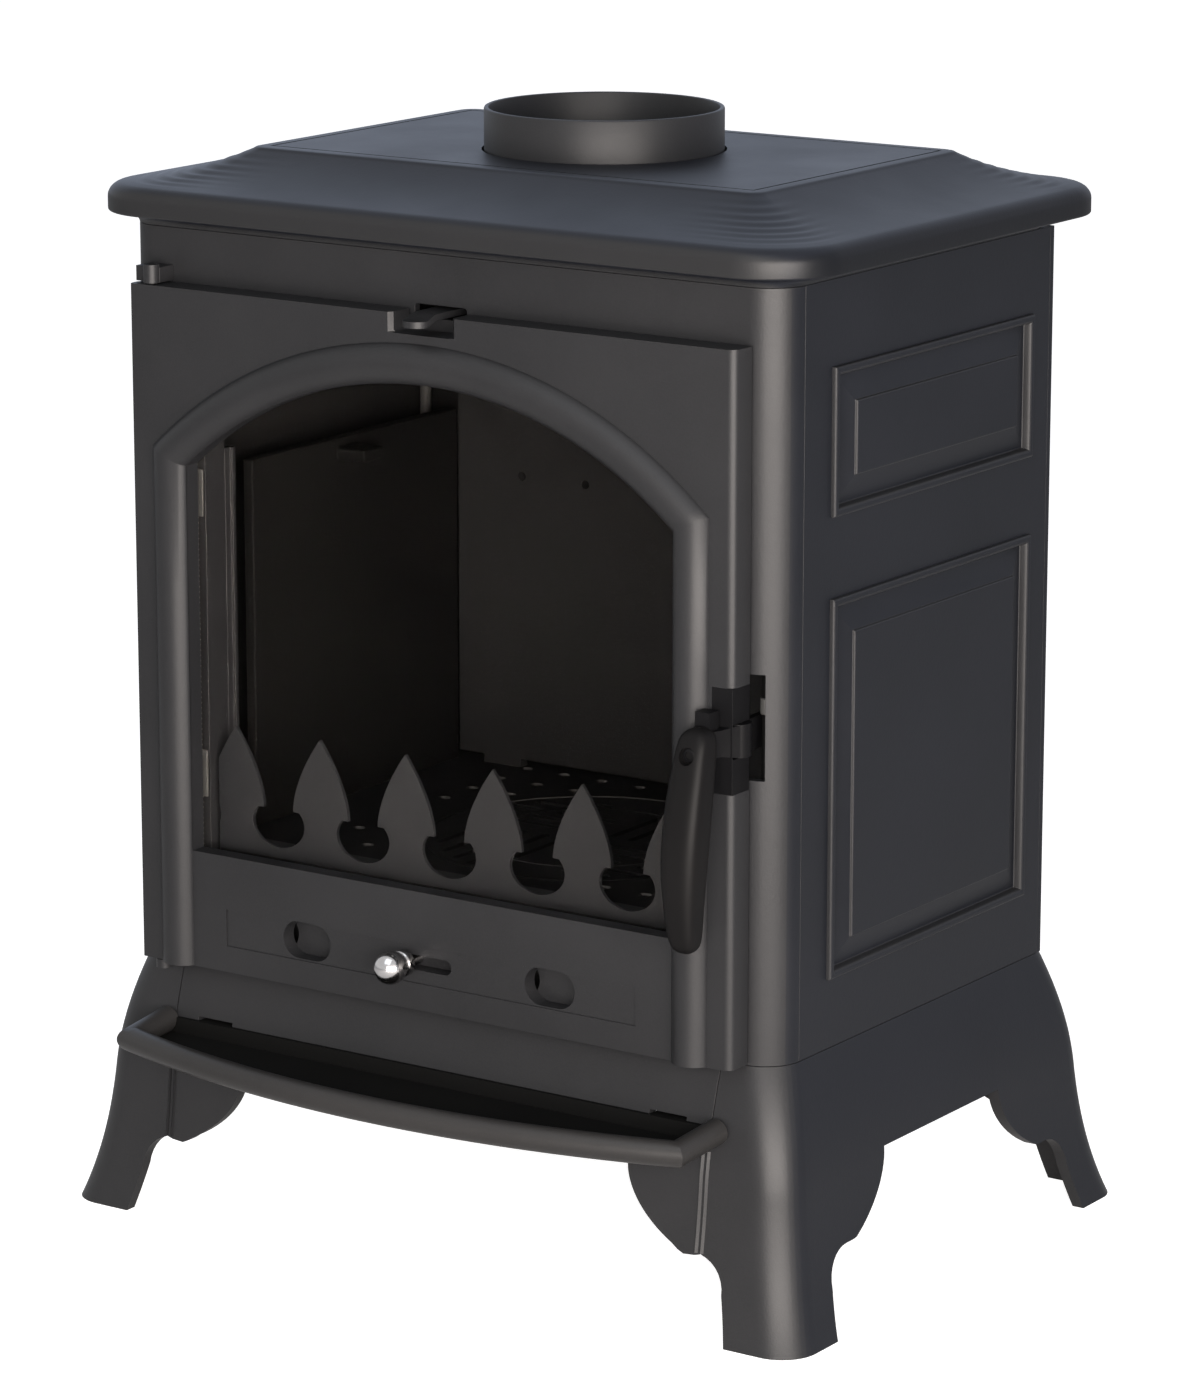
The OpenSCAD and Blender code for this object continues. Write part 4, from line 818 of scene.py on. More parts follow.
def doorCasting():
    outline = [(door["hingeX"], door["front"]), (door["right"] - door["chamfer"], door["front"]),
               (door["right"] - door["chamfer"] * 0.25, door["front"] + door["chamfer"] * 0.5),
               (door["right"], door["front"] + door["chamfer"]), (door["right"], door["rear"]),
               (door["hingeX"], door["rear"])]
    rearTurn = math.degrees(math.asin((door["rear"] - door["hingeY"]) / door["knuckle"]))
    frontTurn = math.degrees(math.asin((door["hingeY"] - door["front"]) / door["knuckle"]))
    outline += arcPoints(door["hingeX"], door["hingeY"], door["knuckle"], 180 - rearTurn, 180 + frontTurn, 20)
    casting = prism("doorCasting", outline, door["bottom"], door["top"])
    f, r, air = door["front"], door["rear"], door["airZ"]
    half, low = door["notch"]
    wide = half + door["notchBevel"]
    bevel = [[(x, y, z) for x, z in rectangle(-w, b, w, 610)]
             for w, b, y in ((wide + 1, low + 0.3, f - 1), (half - 0.5, low + 0.3, f + 3.1))]
    recess, recessLow, recessHigh = door["recess"]
    latchX, latchLow, latchHigh = door["latch"]
    holes = [slab("window", windowOutline(0), f - 5, r + 5),
             slab("glassSeat", windowOutline(8.5), r - 7, r + 5),
             slab("leverNotch", roundedRectangle(-half, low, half, 610, 2), f - 5, r + 5),
             skinned("notchBevel", bevel),
             slab("knobSlot", stadium(0, air, 37.6, 9.6), f - 5, r + 5),
             slab("plateRecess", rectangle(-recess, air + recessLow, recess, air + recessHigh), f - 5, f + 1),
             slab("slidePocket", rectangle(-148.5, air - 20, 148.5, air + 20), r - 7, r + 5),
             slab("latchNotch", rectangle(latchX, latchLow, 230, latchHigh), f - 5, r + 5)]
    for z0, z1 in ((door["bottom"] - 1, door["bottom"] + 15.3), (door["top"] - 15.3, door["top"] + 1)):
        holes.append(prism("pinHole", arcPoints(door["hingeX"], door["hingeY"], door["pin"], 0, 348.75, 31), z0, z1))
    for side in (-1, 1):
        holes.append(slab("airHole", stadium(side * door["airHoles"], air, door["airLength"], door["airHeight"]),
                          f - 5, r + 5))
    return cut(casting, *holes)


finishPiece(doorCasting(), ironBody, "door", "door", edge=door["edge"], slot="casting_front")


# middle line of the moulding: (x, z) and the way outward there, longer at a mitre
def archPath():
    middle = door["archRadius"] - door["archWidth"] / 2
    jamb = door["jamb"] - door["archWidth"] / 2
    spread = math.asin(jamb / middle)
    path = [((jamb, door["bottom"] + 0.3), (1, 0))]
    joint = (jamb, door["archCentre"] + middle * math.cos(spread))
    radial = Vector((math.sin(spread), math.cos(spread)))
    bisector = (Vector((1, 0)) + radial).normalized()
    path += [((jamb, z), (1, 0)) for z in (230, 320, 410)]
    path.append((joint, tuple(bisector * (1 / bisector.dot(Vector((1, 0)))))))
    mirrored = [((-x, z), (-nx, nz)) for (x, z), (nx, nz) in reversed(path)]
    steps = 96
    for i in range(1, steps):
        a = spread - 2 * spread * i / steps
        path.append(((middle * math.sin(a), door["archCentre"] + middle * math.cos(a)), (math.sin(a), math.cos(a))))
    return path + mirrored


def mouldingSection():    # half-round section: (across, height)
    half, height = door["archWidth"] / 2, door["archHeight"]
    radius = (half * half + height * height) / 2 / height
    spread = math.degrees(math.asin(half / radius))
    points = [(-half, -0.5)]
    for i in range(17):
        a = math.radians(-spread + 2 * spread * i / 16)
        points.append((radius * math.sin(a), height - radius + radius * math.cos(a)))
    return points + [(half, -0.5)]


arch = [[(x + nx * w, door["front"] - max(h, -0.4), z + nz * w) for w, h in mouldingSection()]
        for (x, z), (nx, nz) in archPath()]
finishPiece(skinned("archMoulding", arch), ironBody, "door", "door_arch", smooth=38, slot="casting_front")
print("door ready")

# hinges, latch and handle
hinge = {"x": -209.5, "y": -15.3, "barrel": 5.2, "block": 13.5, "height": 11.5, "pin": 3, "edge": 0.7, "low": 161.7,
         "gapAbove": 0.8, "gapBelow": 0.6}
latch = {"x": 219.5, "y": -9, "z": 369, "slotHeight": 64, "hub": 8, "hubHeight": 20, "hookStart": 26,
         "armWidth": 9, "armHeight": 16, "edge": 0.7}
grip = {"x": 210, "y": -38, "top": 380, "length": 134, "width": 26, "bow": 16, "levels": 64, "around": 56,
        "core": 5, "coreDrop": 24, "screwDrop": 4, "corner": 3.8}


def hingeBracket(name, barrelZ, arm, armZ, boreZ):
    x, y = hinge["x"], hinge["y"]
    bracket = fuse(name, prism("barrel", circleOutline(x, y, hinge["barrel"]), *barrelZ),
                   prism("arm", rectangle(*arm), *armZ))
    return cut(bracket, prism("bore", circleOutline(x, y, hinge["pin"] + 0.05, 32), *boreZ))


upperZ, lowerZ = door["top"] + hinge["gapAbove"], hinge["low"]
upperTop = upperZ + hinge["height"]
x0, x1, y0 = hinge["x"] - hinge["barrel"], hinge["x"] + hinge["barrel"], hinge["y"]
finishPiece(hingeBracket("hingeBracketTop", (upperZ, upperTop), (hinge["x"] - hinge["block"], y0 + 1.5, x1, -0.05),
                         (upperZ, upperTop - 2), (upperZ - 2, upperTop + 2)),
            ironBody, "root", "hinge_bracket_top", edge=hinge["edge"], slot="casting_front")
finishPiece(hingeBracket("hingeBracketBottom", (lowerZ, door["bottom"] - hinge["gapBelow"]), (x0, y0, x1, 8),
                         (lowerZ, lowerZ + 3.2), (lowerZ - 2, lowerZ + 8)),
            ironBody, "root", "hinge_bracket_bottom", edge=0.4, slot="casting_front")
pins = [lathe("hingePin", rod(z0, z1, hinge["pin"]), (hinge["x"], hinge["y"], 0), "z", 32)
        for z0, z1 in ((door["top"] - 15, upperTop), (lowerZ, door["bottom"] + 15))]
finishPiece(join("hingePins", *pins), blackLatch, "root", "hinge_pins", slot="zinc")

slotLow, slotHigh = latch["z"] - latch["slotHeight"] / 2, latch["z"] + latch["slotHeight"] / 2
half = latch["hubHeight"] / 2 + 0.5
bracket = prism("latchBracket", rectangle(latch["x"] - 11, door["front"], door["right"], door["rear"]),
                slotLow, slotHigh)
cut(bracket, prism("gap", rectangle(latch["x"] - 9.5, -20, 230, 2), latch["z"] - half, latch["z"] + half),
    prism("bore", circleOutline(latch["x"], latch["y"], 3, 32), slotLow - 2, slotHigh + 2))
finishPiece(bracket, blackLatch, "door", "latch_bracket", edge=latch["edge"], slot="latch_black")
latchPin = lathe("latchPin", rod(slotLow, slotHigh, 3), (latch["x"], latch["y"], 0), "z", 32)
finishPiece(latchPin, blackLatch, "door", "latch_pin", slot="zinc")


def hullOf(name, points):
    work = bmesh.new()
    for point in points:
        work.verts.new(place(point))
    bmesh.ops.convex_hull(work, input=work.verts)
    mesh = bpy.data.meshes.new(name)
    work.to_mesh(mesh)
    work.free()
    return outward(newObject(name, mesh))


def latchLever():
    cx, cy, z0 = latch["x"], latch["y"], latch["z"] - latch["hubHeight"] / 2
    z1 = z0 + latch["hubHeight"]
    start = latch["hookStart"]
    hub = prism("hub", circleOutline(cx, cy, latch["hub"]), z0, z1)
    shank = prism("shank", turned(rectangle(0, -2.2, start + 2, 2.2), 94, cx, cy), z0 + 0.1, z1 - 0.1)
    claw = arcPoints(cx, cy, start, 98, 66, 16) + arcPoints(cx, cy, start + 4, 66, 98, 16)
    claw = prism("claw", claw, z0 + 0.05, z1 - 0.05)
    dx, dy = grip["x"] - cx, grip["y"] - cy
    length, angle = math.hypot(dx, dy), math.degrees(math.atan2(dy, dx))
    arm = prism("arm", turned(rectangle(0, -latch["armWidth"] / 2, length, latch["armWidth"] / 2), angle, cx, cy),
                latch["z"] - latch["armHeight"] / 2, latch["z"] + latch["armHeight"] / 2)
    c, gx, gy, z = grip["core"], grip["x"], grip["y"], latch["z"]
    core = prism("core", rectangle(gx - c, gy - c, gx + c, gy + c + 0.01), z - grip["coreDrop"], z + 2)
    riser = prism("riser", rectangle(gx - c, gy + c, gx + c, gy + 3 * c), z - latch["armHeight"] / 2, z + 19)
    neckEnd = [(cx + x, cy + y) for x, y in turned(rectangle(10, -4.5, 17, 4.5), angle, 0, 0)]
    rise = latch["hubHeight"] / 2 - 0.1
    neck = hullOf("neck", [(x, y, z + h) for x, y in neckEnd for h in (-7.9, 7.9)]
                  + [(x, y, z + h) for h in (-rise, rise) for x, y in circleOutline(cx, cy, latch["hub"] - 0.6, 24)])
    lever = fuse("latchLever", hub, shank, claw, arm, core, riser, neck)
    bore = prism("bore", circleOutline(cx, cy, 3.05, 32), z0 - 2, z1 + 2)
    screwHole = lathe("screwHole", [(2.5, gy - 8), (2.5, gy + 8)], (gx, 0, z - grip["screwDrop"]), "y", 24)
    return cut(lever, bore, screwHole)


finishPiece(latchLever(), blackLatch, "handle", "latch_lever", edge=0.6, slot="latch_black")


def gripCasting():        # rounded bar, thickest in the middle, bowed to the front
    rings = []
    levels, around = grip["levels"], grip["around"]
    for i in range(levels + 1):
        k = (1 - math.cos(math.pi * i / levels)) / 2
        swell = 0.76 + 0.25 * math.sin(math.pi * k) - 0.13 * k * k
        size = math.sqrt(max(0.03, 1 - abs(2 * k - 1) ** 20)) * swell * 0.985
        w, d = grip["width"] / 2 * size, (grip["width"] - 2) / 2 * size
        cy = grip["y"] + 2 - grip["bow"] * math.sin(math.radians(125 * k))
        z = grip["top"] - grip["length"] * k
        ring = []
        for j in range(around):
            a = 2 * math.pi * j / around
            c, s = math.cos(a), math.sin(a)
            m = (abs(c) ** grip["corner"] + abs(s) ** grip["corner"]) ** (-1 / grip["corner"])
            ring.append((grip["x"] + w * m * c, cy + d * m * s, z))
        rings.append(ring)
    return skinned("grip", rings)


gripBody = gripCasting()
gx, gy, c, screwZ = grip["x"], grip["y"], grip["core"] + 0.1, latch["z"] - grip["screwDrop"]
socket = prism("socket", rectangle(gx - c, gy - c, gx + c, gy + c), latch["z"] - grip["coreDrop"] - 0.2,
               latch["z"] + 2.2)
backSlot = prism("backSlot", rectangle(gx - c, gy + c - 0.3, gx + c, gy + 20), latch["z"] - 8.2, grip["top"] + 12)
recess = lathe("screwRecess", [(5.2, gy - 40), (5.2, gy - 8.6)], (gx, 0, screwZ), "y", 40)
dx, dy = gx - latch["x"], gy - latch["y"]
armPocket = prism("armPocket", turned(rectangle(10, -4.7, math.hypot(dx, dy), 4.7),
                                      math.degrees(math.atan2(dy, dx)), latch["x"], latch["y"]),
                  latch["z"] - 8.2, latch["z"] + 8.2)
cut(gripBody, socket, backSlot, recess, armPocket)
finishPiece(gripBody, gripBlack, "handle", "grip", smooth=50, slot="grip_black")

screw = lathe("gripScrew", [(1.2, gy + 4), (2.4, gy + 2.8), (2.4, gy - 6), (4.4, gy - 6.1), (4.6, gy - 6.6),
                            (4.6, gy - 8.4), (4.2, gy - 9.1), (3.4, gy - 9.5)], (gx, 0, screwZ), "y", 40)
hexSocket = lathe("hexSocket", [(2.6, gy - 12), (2.6, gy - 7.6)], (gx, 0, screwZ), "y", 6)
cut(screw, hexSocket)
finishPiece(screw, blackLatch, "handle", "grip_screw", smooth=35, slot="zinc")
print("hinges and latch ready")

# air controls
knob = {"x": -14, "z": 198, "ball": 10.5, "reach": 38}
ballY = -knob["reach"]
knobProfile = [(4.2, -9), (4.2, -22.5), (7.4, -22.7), (8.1, -23.2), (8.5, -24), (8.5, -28.2), (8.2, -28.8),
               (7.6, -29.3), (7.4, -30.1)]
for i in range(25):
    a = math.radians(-40 + 129.5 * i / 24)
    knobProfile.append((knob["ball"] * math.cos(a), ballY - knob["ball"] * math.sin(a)))
ball = lathe("airKnob", knobProfile, (knob["x"], 0, knob["z"]), "y", 72)
finishPiece(ball, chrome, "air_slide", "air_knob", smooth=40, slot="chrome")

lever = {"z": 600, "thickness": 4, "width": 17, "out": 33, "inner": 29.8, "droop": 3.2, "edge": 0.8}


def leverRing(y):         # flat bar with a round tip that is bent down in front of the door
    tip, away = lever["width"] / 2, y + lever["out"]
    half = tip if away >= tip else math.sqrt(max(1.0, tip ** 2 - (tip - away) ** 2))
    t = min(1, max(0, (-15 - y) / 12))
    z = lever["z"] - lever["droop"] * t * t * (3 - 2 * t)
    thick = lever["thickness"] / 2
    return [(-half, y, z - thick), (half, y, z - thick), (half, y, z + thick), (-half, y, z + thick)]


stations = [-lever["out"] + lever["width"] / 2 * (1 - math.cos(math.pi / 2 * i / 12)) for i in range(13)]
stations += [-24, -22, -20, -18, -16, -14, lever["inner"]]
tongue = skinned("airwashLever", [leverRing(y) for y in sorted(set(stations))])
finishPiece(tongue, ironBody, "airwash", "airwash_lever", edge=lever["edge"], segments=3, slot="casting_front")
print("air controls ready")

# log guard: one spear repeated along a line
guard = {"spears": 6, "pitch": 66, "height": 81, "front": 5, "thickness": 2.8, "half": 179, "hearth": 240,
         "spearHalf": 21.5, "holeHeight": 22.5, "holeHalf": 20.4, "holeRise": 15.4, "edge": 0.5}


def spearOutline():
    pitch, holeZ = guard["pitch"] / 2, guard["holeHeight"]
    right = [(pitch, 0), (pitch, holeZ - guard["holeRise"])]
    for i in range(11):
        a = math.radians(-84 + 121 * i / 10)
        right.append((pitch - guard["holeHalf"] * math.cos(a), holeZ + guard["holeRise"] * math.sin(a)))
    low = right[-1][1] + 0.2
    for i in range(15):
        t = i / 14
        right.append((guard["spearHalf"] * (1 - t ** 1.7), low + (guard["height"] - low) * t))
    left = [(-x, z) for x, z in reversed(right[:-1])]
    return right + left


# geometry trees with named inputs; each ends with real meshes and a material
def geometryTree(name, **inputs):
    tree = bpy.data.node_groups.new(name, "GeometryNodeTree")
    for socketName, kind in {"Geometry": "Geometry", **inputs, "Material": "Material"}.items():
        tree.interface.new_socket(socketName, in_out="INPUT", socket_type="NodeSocket" + kind)
    tree.interface.new_socket("Geometry", in_out="OUTPUT", socket_type="NodeSocketGeometry")
    return tree, addNode(tree, "NodeGroupInput").outputs


def closeTree(tree, start, geometry):
    real = addNode(tree, "GeometryNodeRealizeInstances", {0: geometry})
    paint = addNode(tree, "GeometryNodeSetMaterial", {"Geometry": real, "Material": start["Material"]})
    addNode(tree, "NodeGroupOutput", {0: paint})
    return tree


def onPoints(tree, points, shape, turn=None):
    return addNode(tree, "GeometryNodeInstanceOnPoints", {"Points": points, "Instance": shape, "Rotation": turn})


def grow(obj, tree, **values):            # runs a tree with its named inputs and keeps the plain mesh
    modifier = obj.modifiers.new("grow", "NODES")
    modifier.node_group = tree
    for item in tree.interface.items_tree:
        if item.item_type == "SOCKET" and item.in_out == "INPUT" and item.name in values:
            modifier[item.identifier] = values[item.name]
    return settle(obj)


def spearRowTree():       # a flat outline repeated along x, welded and given its thickness
    tree, start = geometryTree("spearRow", Count="Int", Pitch="Float", Thickness="Float")
    length = mathNode(tree, "MULTIPLY", mathNode(tree, "SUBTRACT", start["Count"], 1.0), start["Pitch"])
    first = addNode(tree, "ShaderNodeCombineXYZ", {"X": mathNode(tree, "MULTIPLY", length, -0.5)})
    step = addNode(tree, "ShaderNodeCombineXYZ", {"X": start["Pitch"]})
    line = addNode(tree, "GeometryNodeMeshLine", {"Count": start["Count"], "Start Location": first, "Offset": step})
    flat = addNode(tree, "GeometryNodeRealizeInstances", {0: onPoints(tree, line, start["Geometry"])})
    weld = addNode(tree, "GeometryNodeMergeByDistance", {"Geometry": flat, "Distance": weldDistance})
    back = addNode(tree, "ShaderNodeCombineXYZ", {"Y": 1.0})
    extrude = addNode(tree, "GeometryNodeExtrudeMesh", {"Mesh": weld, "Offset": back, "Individual": False,
                                                        "Offset Scale": start["Thickness"]})
    both = addNode(tree, "GeometryNodeJoinGeometry", {0: extrude})
    feed(tree, both, {0: addNode(tree, "GeometryNodeFlipFaces", {"Mesh": weld})})
    return closeTree(tree, start, addNode(tree, "GeometryNodeMergeByDistance", {"Geometry": both,
                                                                                "Distance": weldDistance}))


def fastenerTree():       # one fastener on every point of a set, each turned a little by a fixed seed
    tree, start = geometryTree("fastenerSet", Fastener="Object", Turn="Vector", Seed="Int")
    shape = addNode(tree, "GeometryNodeObjectInfo", {"Object": start["Fastener"]})
    chance = addNode(tree, "FunctionNodeRandomValue", {0: (0, 0, 0), 1: (0, 0, 1.04), "Seed": start["Seed"]},
                     data_type="FLOAT_VECTOR")
    placed = onPoints(tree, start["Geometry"], shape.outputs["Geometry"], start["Turn"])
    return closeTree(tree, start, addNode(tree, "GeometryNodeRotateInstances", {"Instances": placed,
                                                                                "Rotation": chance}))


def braidTree():          # stitches of a braid, one behind the other along a flat closed path
    tree, start = geometryTree("braid", Stitch="Object", Count="Int")
    curve = addNode(tree, "GeometryNodeMeshToCurve", {"Mesh": start["Geometry"]})
    even = addNode(tree, "GeometryNodeResampleCurve", {"Curve": curve, "Count": start["Count"]})
    turn = addNode(tree, "FunctionNodeAlignRotationToVector", {"Vector": addNode(tree, "GeometryNodeInputTangent")},
                   axis="X", pivot_axis="Y")
    shape = addNode(tree, "GeometryNodeObjectInfo", {"Object": start["Stitch"]})
    return closeTree(tree, start, onPoints(tree, even, shape.outputs["Geometry"], turn))


weldDistance = 0.00002
spearRow, fastenerNodes, braidNodes = spearRowTree(), fastenerTree(), braidTree()

outline = spearOutline()
spears = newObject("spear", buildMesh("spear", [(x, guard["front"], z + guard["hearth"]) for x, z in outline],
                                      [tuple(range(len(outline)))]))
grow(spears, spearRow, Count=guard["spears"], Pitch=guard["pitch"] / 1000, Thickness=guard["thickness"] / 1000,
     Material=ironGuard)
cut(outward(spears), *[slab("end", rectangle(s * 210 - 31, 230, s * 210 + 31, 330), -5, 20) for s in (-1, 1)])
foot = prism("foot", rectangle(-guard["half"], 7, guard["half"], 27), guard["hearth"], guard["hearth"] + 4)
finishPiece(fuse("logGuard", spears, foot), ironGuard, "root", "log_guard", edge=guard["edge"], slot="guard_iron")
print("log guard ready")


# bolts, rods and screws
def atOrigin(obj):        # takes the front panel's offset out again
    for vert in obj.data.vertices:
        vert.co.y -= faceY
    return obj


def hexagon(radius, z0, z1):
    nut = prism("nut", arcPoints(0, 0, radius, 0, 300, 5), z0, z1)
    addBevel(nut, 0.5, 2, 35)
    return settle(nut)


def threaded(radius, z0, z1, *threads):   # round bar with the given stretches of thread
    profile = [(radius - 0.5, z0), (radius, z0 + 0.5)]
    for a, b in threads:
        turns = int(b - a)
        for i in range(turns):
            profile += [(radius - 0.35, a + i + 0.45), (radius, a + i + 0.95)]
    return lathe("shank", profile + [(radius, z1 - 0.5), (radius - 0.5, z1)], (0, 0, 0), "z", 20)


def fastenerSet(name, fastener, spots, turn, seed, material):
    points = newObject(name, buildMesh(name, spots, []))
    grow(points, fastenerNodes, Fastener=atOrigin(fastener), Turn=[math.radians(a) for a in turn], Seed=seed,
         Material=material)
    discard([fastener])
    return points


bolts = {"radius": 4, "nut": 6.8, "baseX": 204, "baseY": (7, 322), "baseZ": 130.5, "collarRadius": 3,
         "collarX": 84, "collarAngles": (30, 150, 270), "rodX": 230, "rodY": (30, 300), "rodZ": (148.5, 646)}
sets = []
for side in (-1, 1):
    bolt = join("bolt", threaded(bolts["radius"], -17, 11, (-9, 0)), hexagon(bolts["nut"], -14, -8),
                hexagon(bolts["nut"], 8, 13))
    spots = [(side * bolts["baseX"], y, bolts["baseZ"]) for y in bolts["baseY"]]
    sets.append(fastenerSet("bolts", bolt, spots, (0, 90 * side, 0), 3 + side, zinc))
finishPiece(join("baseBolts", *sets), zinc, "root", "base_bolts", slot="zinc")

bolt = join("bolt", threaded(bolts["collarRadius"], -8, 3, (-8, -1)), hexagon(1.8 * bolts["collarRadius"], -10, -6))
spots = []
for angle in bolts["collarAngles"]:
    a = math.radians(angle)
    spots.append((bolts["collarX"] * math.cos(a), flue["y"] + bolts["collarX"] * math.sin(a), 674))
finishPiece(fastenerSet("collarBolts", bolt, spots, (0, 0, 0), 5, zinc), zinc, "root", "collar_bolts", slot="zinc")

low, high = bolts["rodZ"]
tieRod = join("rod", threaded(bolts["radius"], low, high, (low + 2, low + 22), (high - 22, high - 2)),
              hexagon(bolts["nut"], low + 5, low + 12))
spots = [(side * bolts["rodX"], y, 0) for side in (-1, 1) for y in bolts["rodY"]]
finishPiece(fastenerSet("tieRods", tieRod, spots, (0, 0, 0), 9, rodSteel), rodSteel, "root", "tie_rods", slot="zinc")

# keeper pin behind the slot, with a turning sleeve above the hook
keeper = {"x": 226, "y": 12, "radius": 3, "low": 334, "high": 414, "sleeve": 3.9, "sleeveZ": (380.5, 390.5),
          "plate": 4, "reach": 18}
k = keeper
pin = lathe("pin", rod(k["low"], k["high"], k["radius"]), (k["x"], k["y"], 0), "z", 32)
sleeve = lathe("sleeve", rod(*k["sleeveZ"], k["sleeve"]), (k["x"], k["y"], 0), "z", 32)
ear = [(k["x"] - k["reach"], 5), (k["x"] - 6, 5)]
ear += [p for p in arcPoints(219, 24, 19, 280, 310, 8) if p[1] > 5.2]
ear += [(k["x"] + 4, 15), (k["x"] - k["reach"], 15)]
plates = [prism("plate", ear, z + 0.05, z + k["plate"] - 0.05) for z in (k["low"], k["high"] - k["plate"])]
finishPiece(join("latchKeeper", pin, *plates), ironShade, "root", edge=0.4, slot="zinc")
finishPiece(sleeve, zinc, "root", "latch_keeper", slot="zinc")

# glass clips with their screws
clips = {"side": (17, 30), "foot": (30, 13), "thick": 1.4, "face": -4.2, "sideX": 189.5, "sideZ": (290, 470.2),
         "footX": 70, "footZ": 233, "corner": 1, "edge": 0.3, "headRadius": 3}
clipPlates, screwSpots = [], []
places = [(s * clips["sideX"], z, clips["side"], s * 4.5, 0) for s in (-1, 1) for z in clips["sideZ"]]
places += [(s * clips["footX"], clips["footZ"], clips["foot"], 0, -4) for s in (-1, 1)]
for x, z, (wide, tall), dx, dz in places:
    outline = roundedRectangle(x - wide / 2, z - tall / 2, x + wide / 2, z + tall / 2, clips["corner"])
    clipPlates.append(plate("clip", outline, clips["face"], clips["face"] + clips["thick"], clips["edge"]))
    screwSpots.append((x + dx, clips["face"] + clips["thick"], z + dz))
r = clips["headRadius"]
screw = lathe("screw", [(r, -0.2), (r, 0.3), (r * 0.85, 0.52), (r * 0.5, 0.6)], (0, 0, 0), "z", 28)
cut(screw, prism("slot", rectangle(-3, -0.35, 3, 0.35), 0.25, 1))
heads = fastenerSet("heads", screw, screwSpots, (-90, 0, 0), 11, zinc)
finishPiece(join("glassClips", heads, *clipPlates), zinc, "door", "glass_clips", smooth=30, slot="zinc")


# ropes: a stitch is two lobes that lean against each other
def stitch(width, thick, pitch):
    lobes = []
    for side in (-1, 1):
        lean = math.radians(34 * side)
        rings = []
        for i in range(1, 6):
            t = math.pi * i / 6
            ring = []
            for j in range(8):
                a = 2 * math.pi * j / 8
                u = pitch * 0.5 * math.sin(t) * math.cos(a)
                v = -width * 0.29 * math.cos(t)
                ring.append((u * math.cos(lean) - v * math.sin(lean), thick / 2 * math.sin(t) * math.sin(a),
                             side * width * 0.22 + u * math.sin(lean) + v * math.cos(lean)))
            rings.append(ring)
        lobes.append(skinned("lobe", rings))
    return atOrigin(join("stitch", *lobes))


ropes = {"pitch": 3.4, "door": {"y": -1.0, "width": 8, "thick": 1.8, "out": 9},
         "glass": {"y": -8.6, "width": 6, "thick": 0.8, "out": 5}}


def braid(name, path, size):
    loop = [(x, size["y"], z) for x, z in path]
    edges = [(i, (i + 1) % len(loop)) for i in range(len(loop))]
    length = sum(math.dist(loop[a], loop[b]) for a, b in edges)
    shape = stitch(size["width"], size["thick"], ropes["pitch"])
    line = grow(newObject(name, buildMesh(name, loop, [], edges)), braidNodes, Stitch=shape,
                Count=int(length / ropes["pitch"]), Material=rope)
    discard([shape])
    return line


finishPiece(braid("doorRope", openingOutline(ropes["door"]["out"]), ropes["door"]), rope, "door", "door_rope",
            smooth=0, slot="rope")
finishPiece(braid("glassRope", windowOutline(ropes["glass"]["out"]), ropes["glass"]), rope, "door", "glass_rope",
            smooth=0, slot="rope")
print("bolts, clips and ropes ready")

# firebox floor with air holes round a slotted grate
floorPlate = {"half": 222, "front": 20.15, "back": 300, "top": 240, "thick": 8, "tongueHalf": 179, "tunnelHalf": 150,
              "tunnelWall": 5, "tunnelLow": 178, "holePitch": (30.3, 31.4), "holeRadius": 3, "ringRadius": 105.5,
              "centreY": 157.5, "seat": 72.6, "bore": 66}
grate = {"radius": 72, "slotWidth": 5.4, "slotStep": 15.5, "slotStart": 10.8, "reach": 99}


def grateSlots(inner, outer, z0, z1):     # slots of the four quarters between two radii
    pieces, w = [], grate["slotWidth"] / 2
    for quarter in range(4):
        for i in range(6):
            x = grate["slotStart"] + grate["slotStep"] * i
            if x > outer - 14:
                continue
            y0 = max(8.0, math.sqrt(max(0.0, inner ** 2 - (x - w) ** 2)))
            y1 = math.sqrt(outer ** 2 - (x + w) ** 2)
            if y1 - y0 > 7:
                pieces.append(prism("slot", turned(rectangle(x - w, y0, x + w, y1), 90 * quarter, 0,
                                                   floorPlate["centreY"]), z0, z1))
    return join("slots", *pieces)


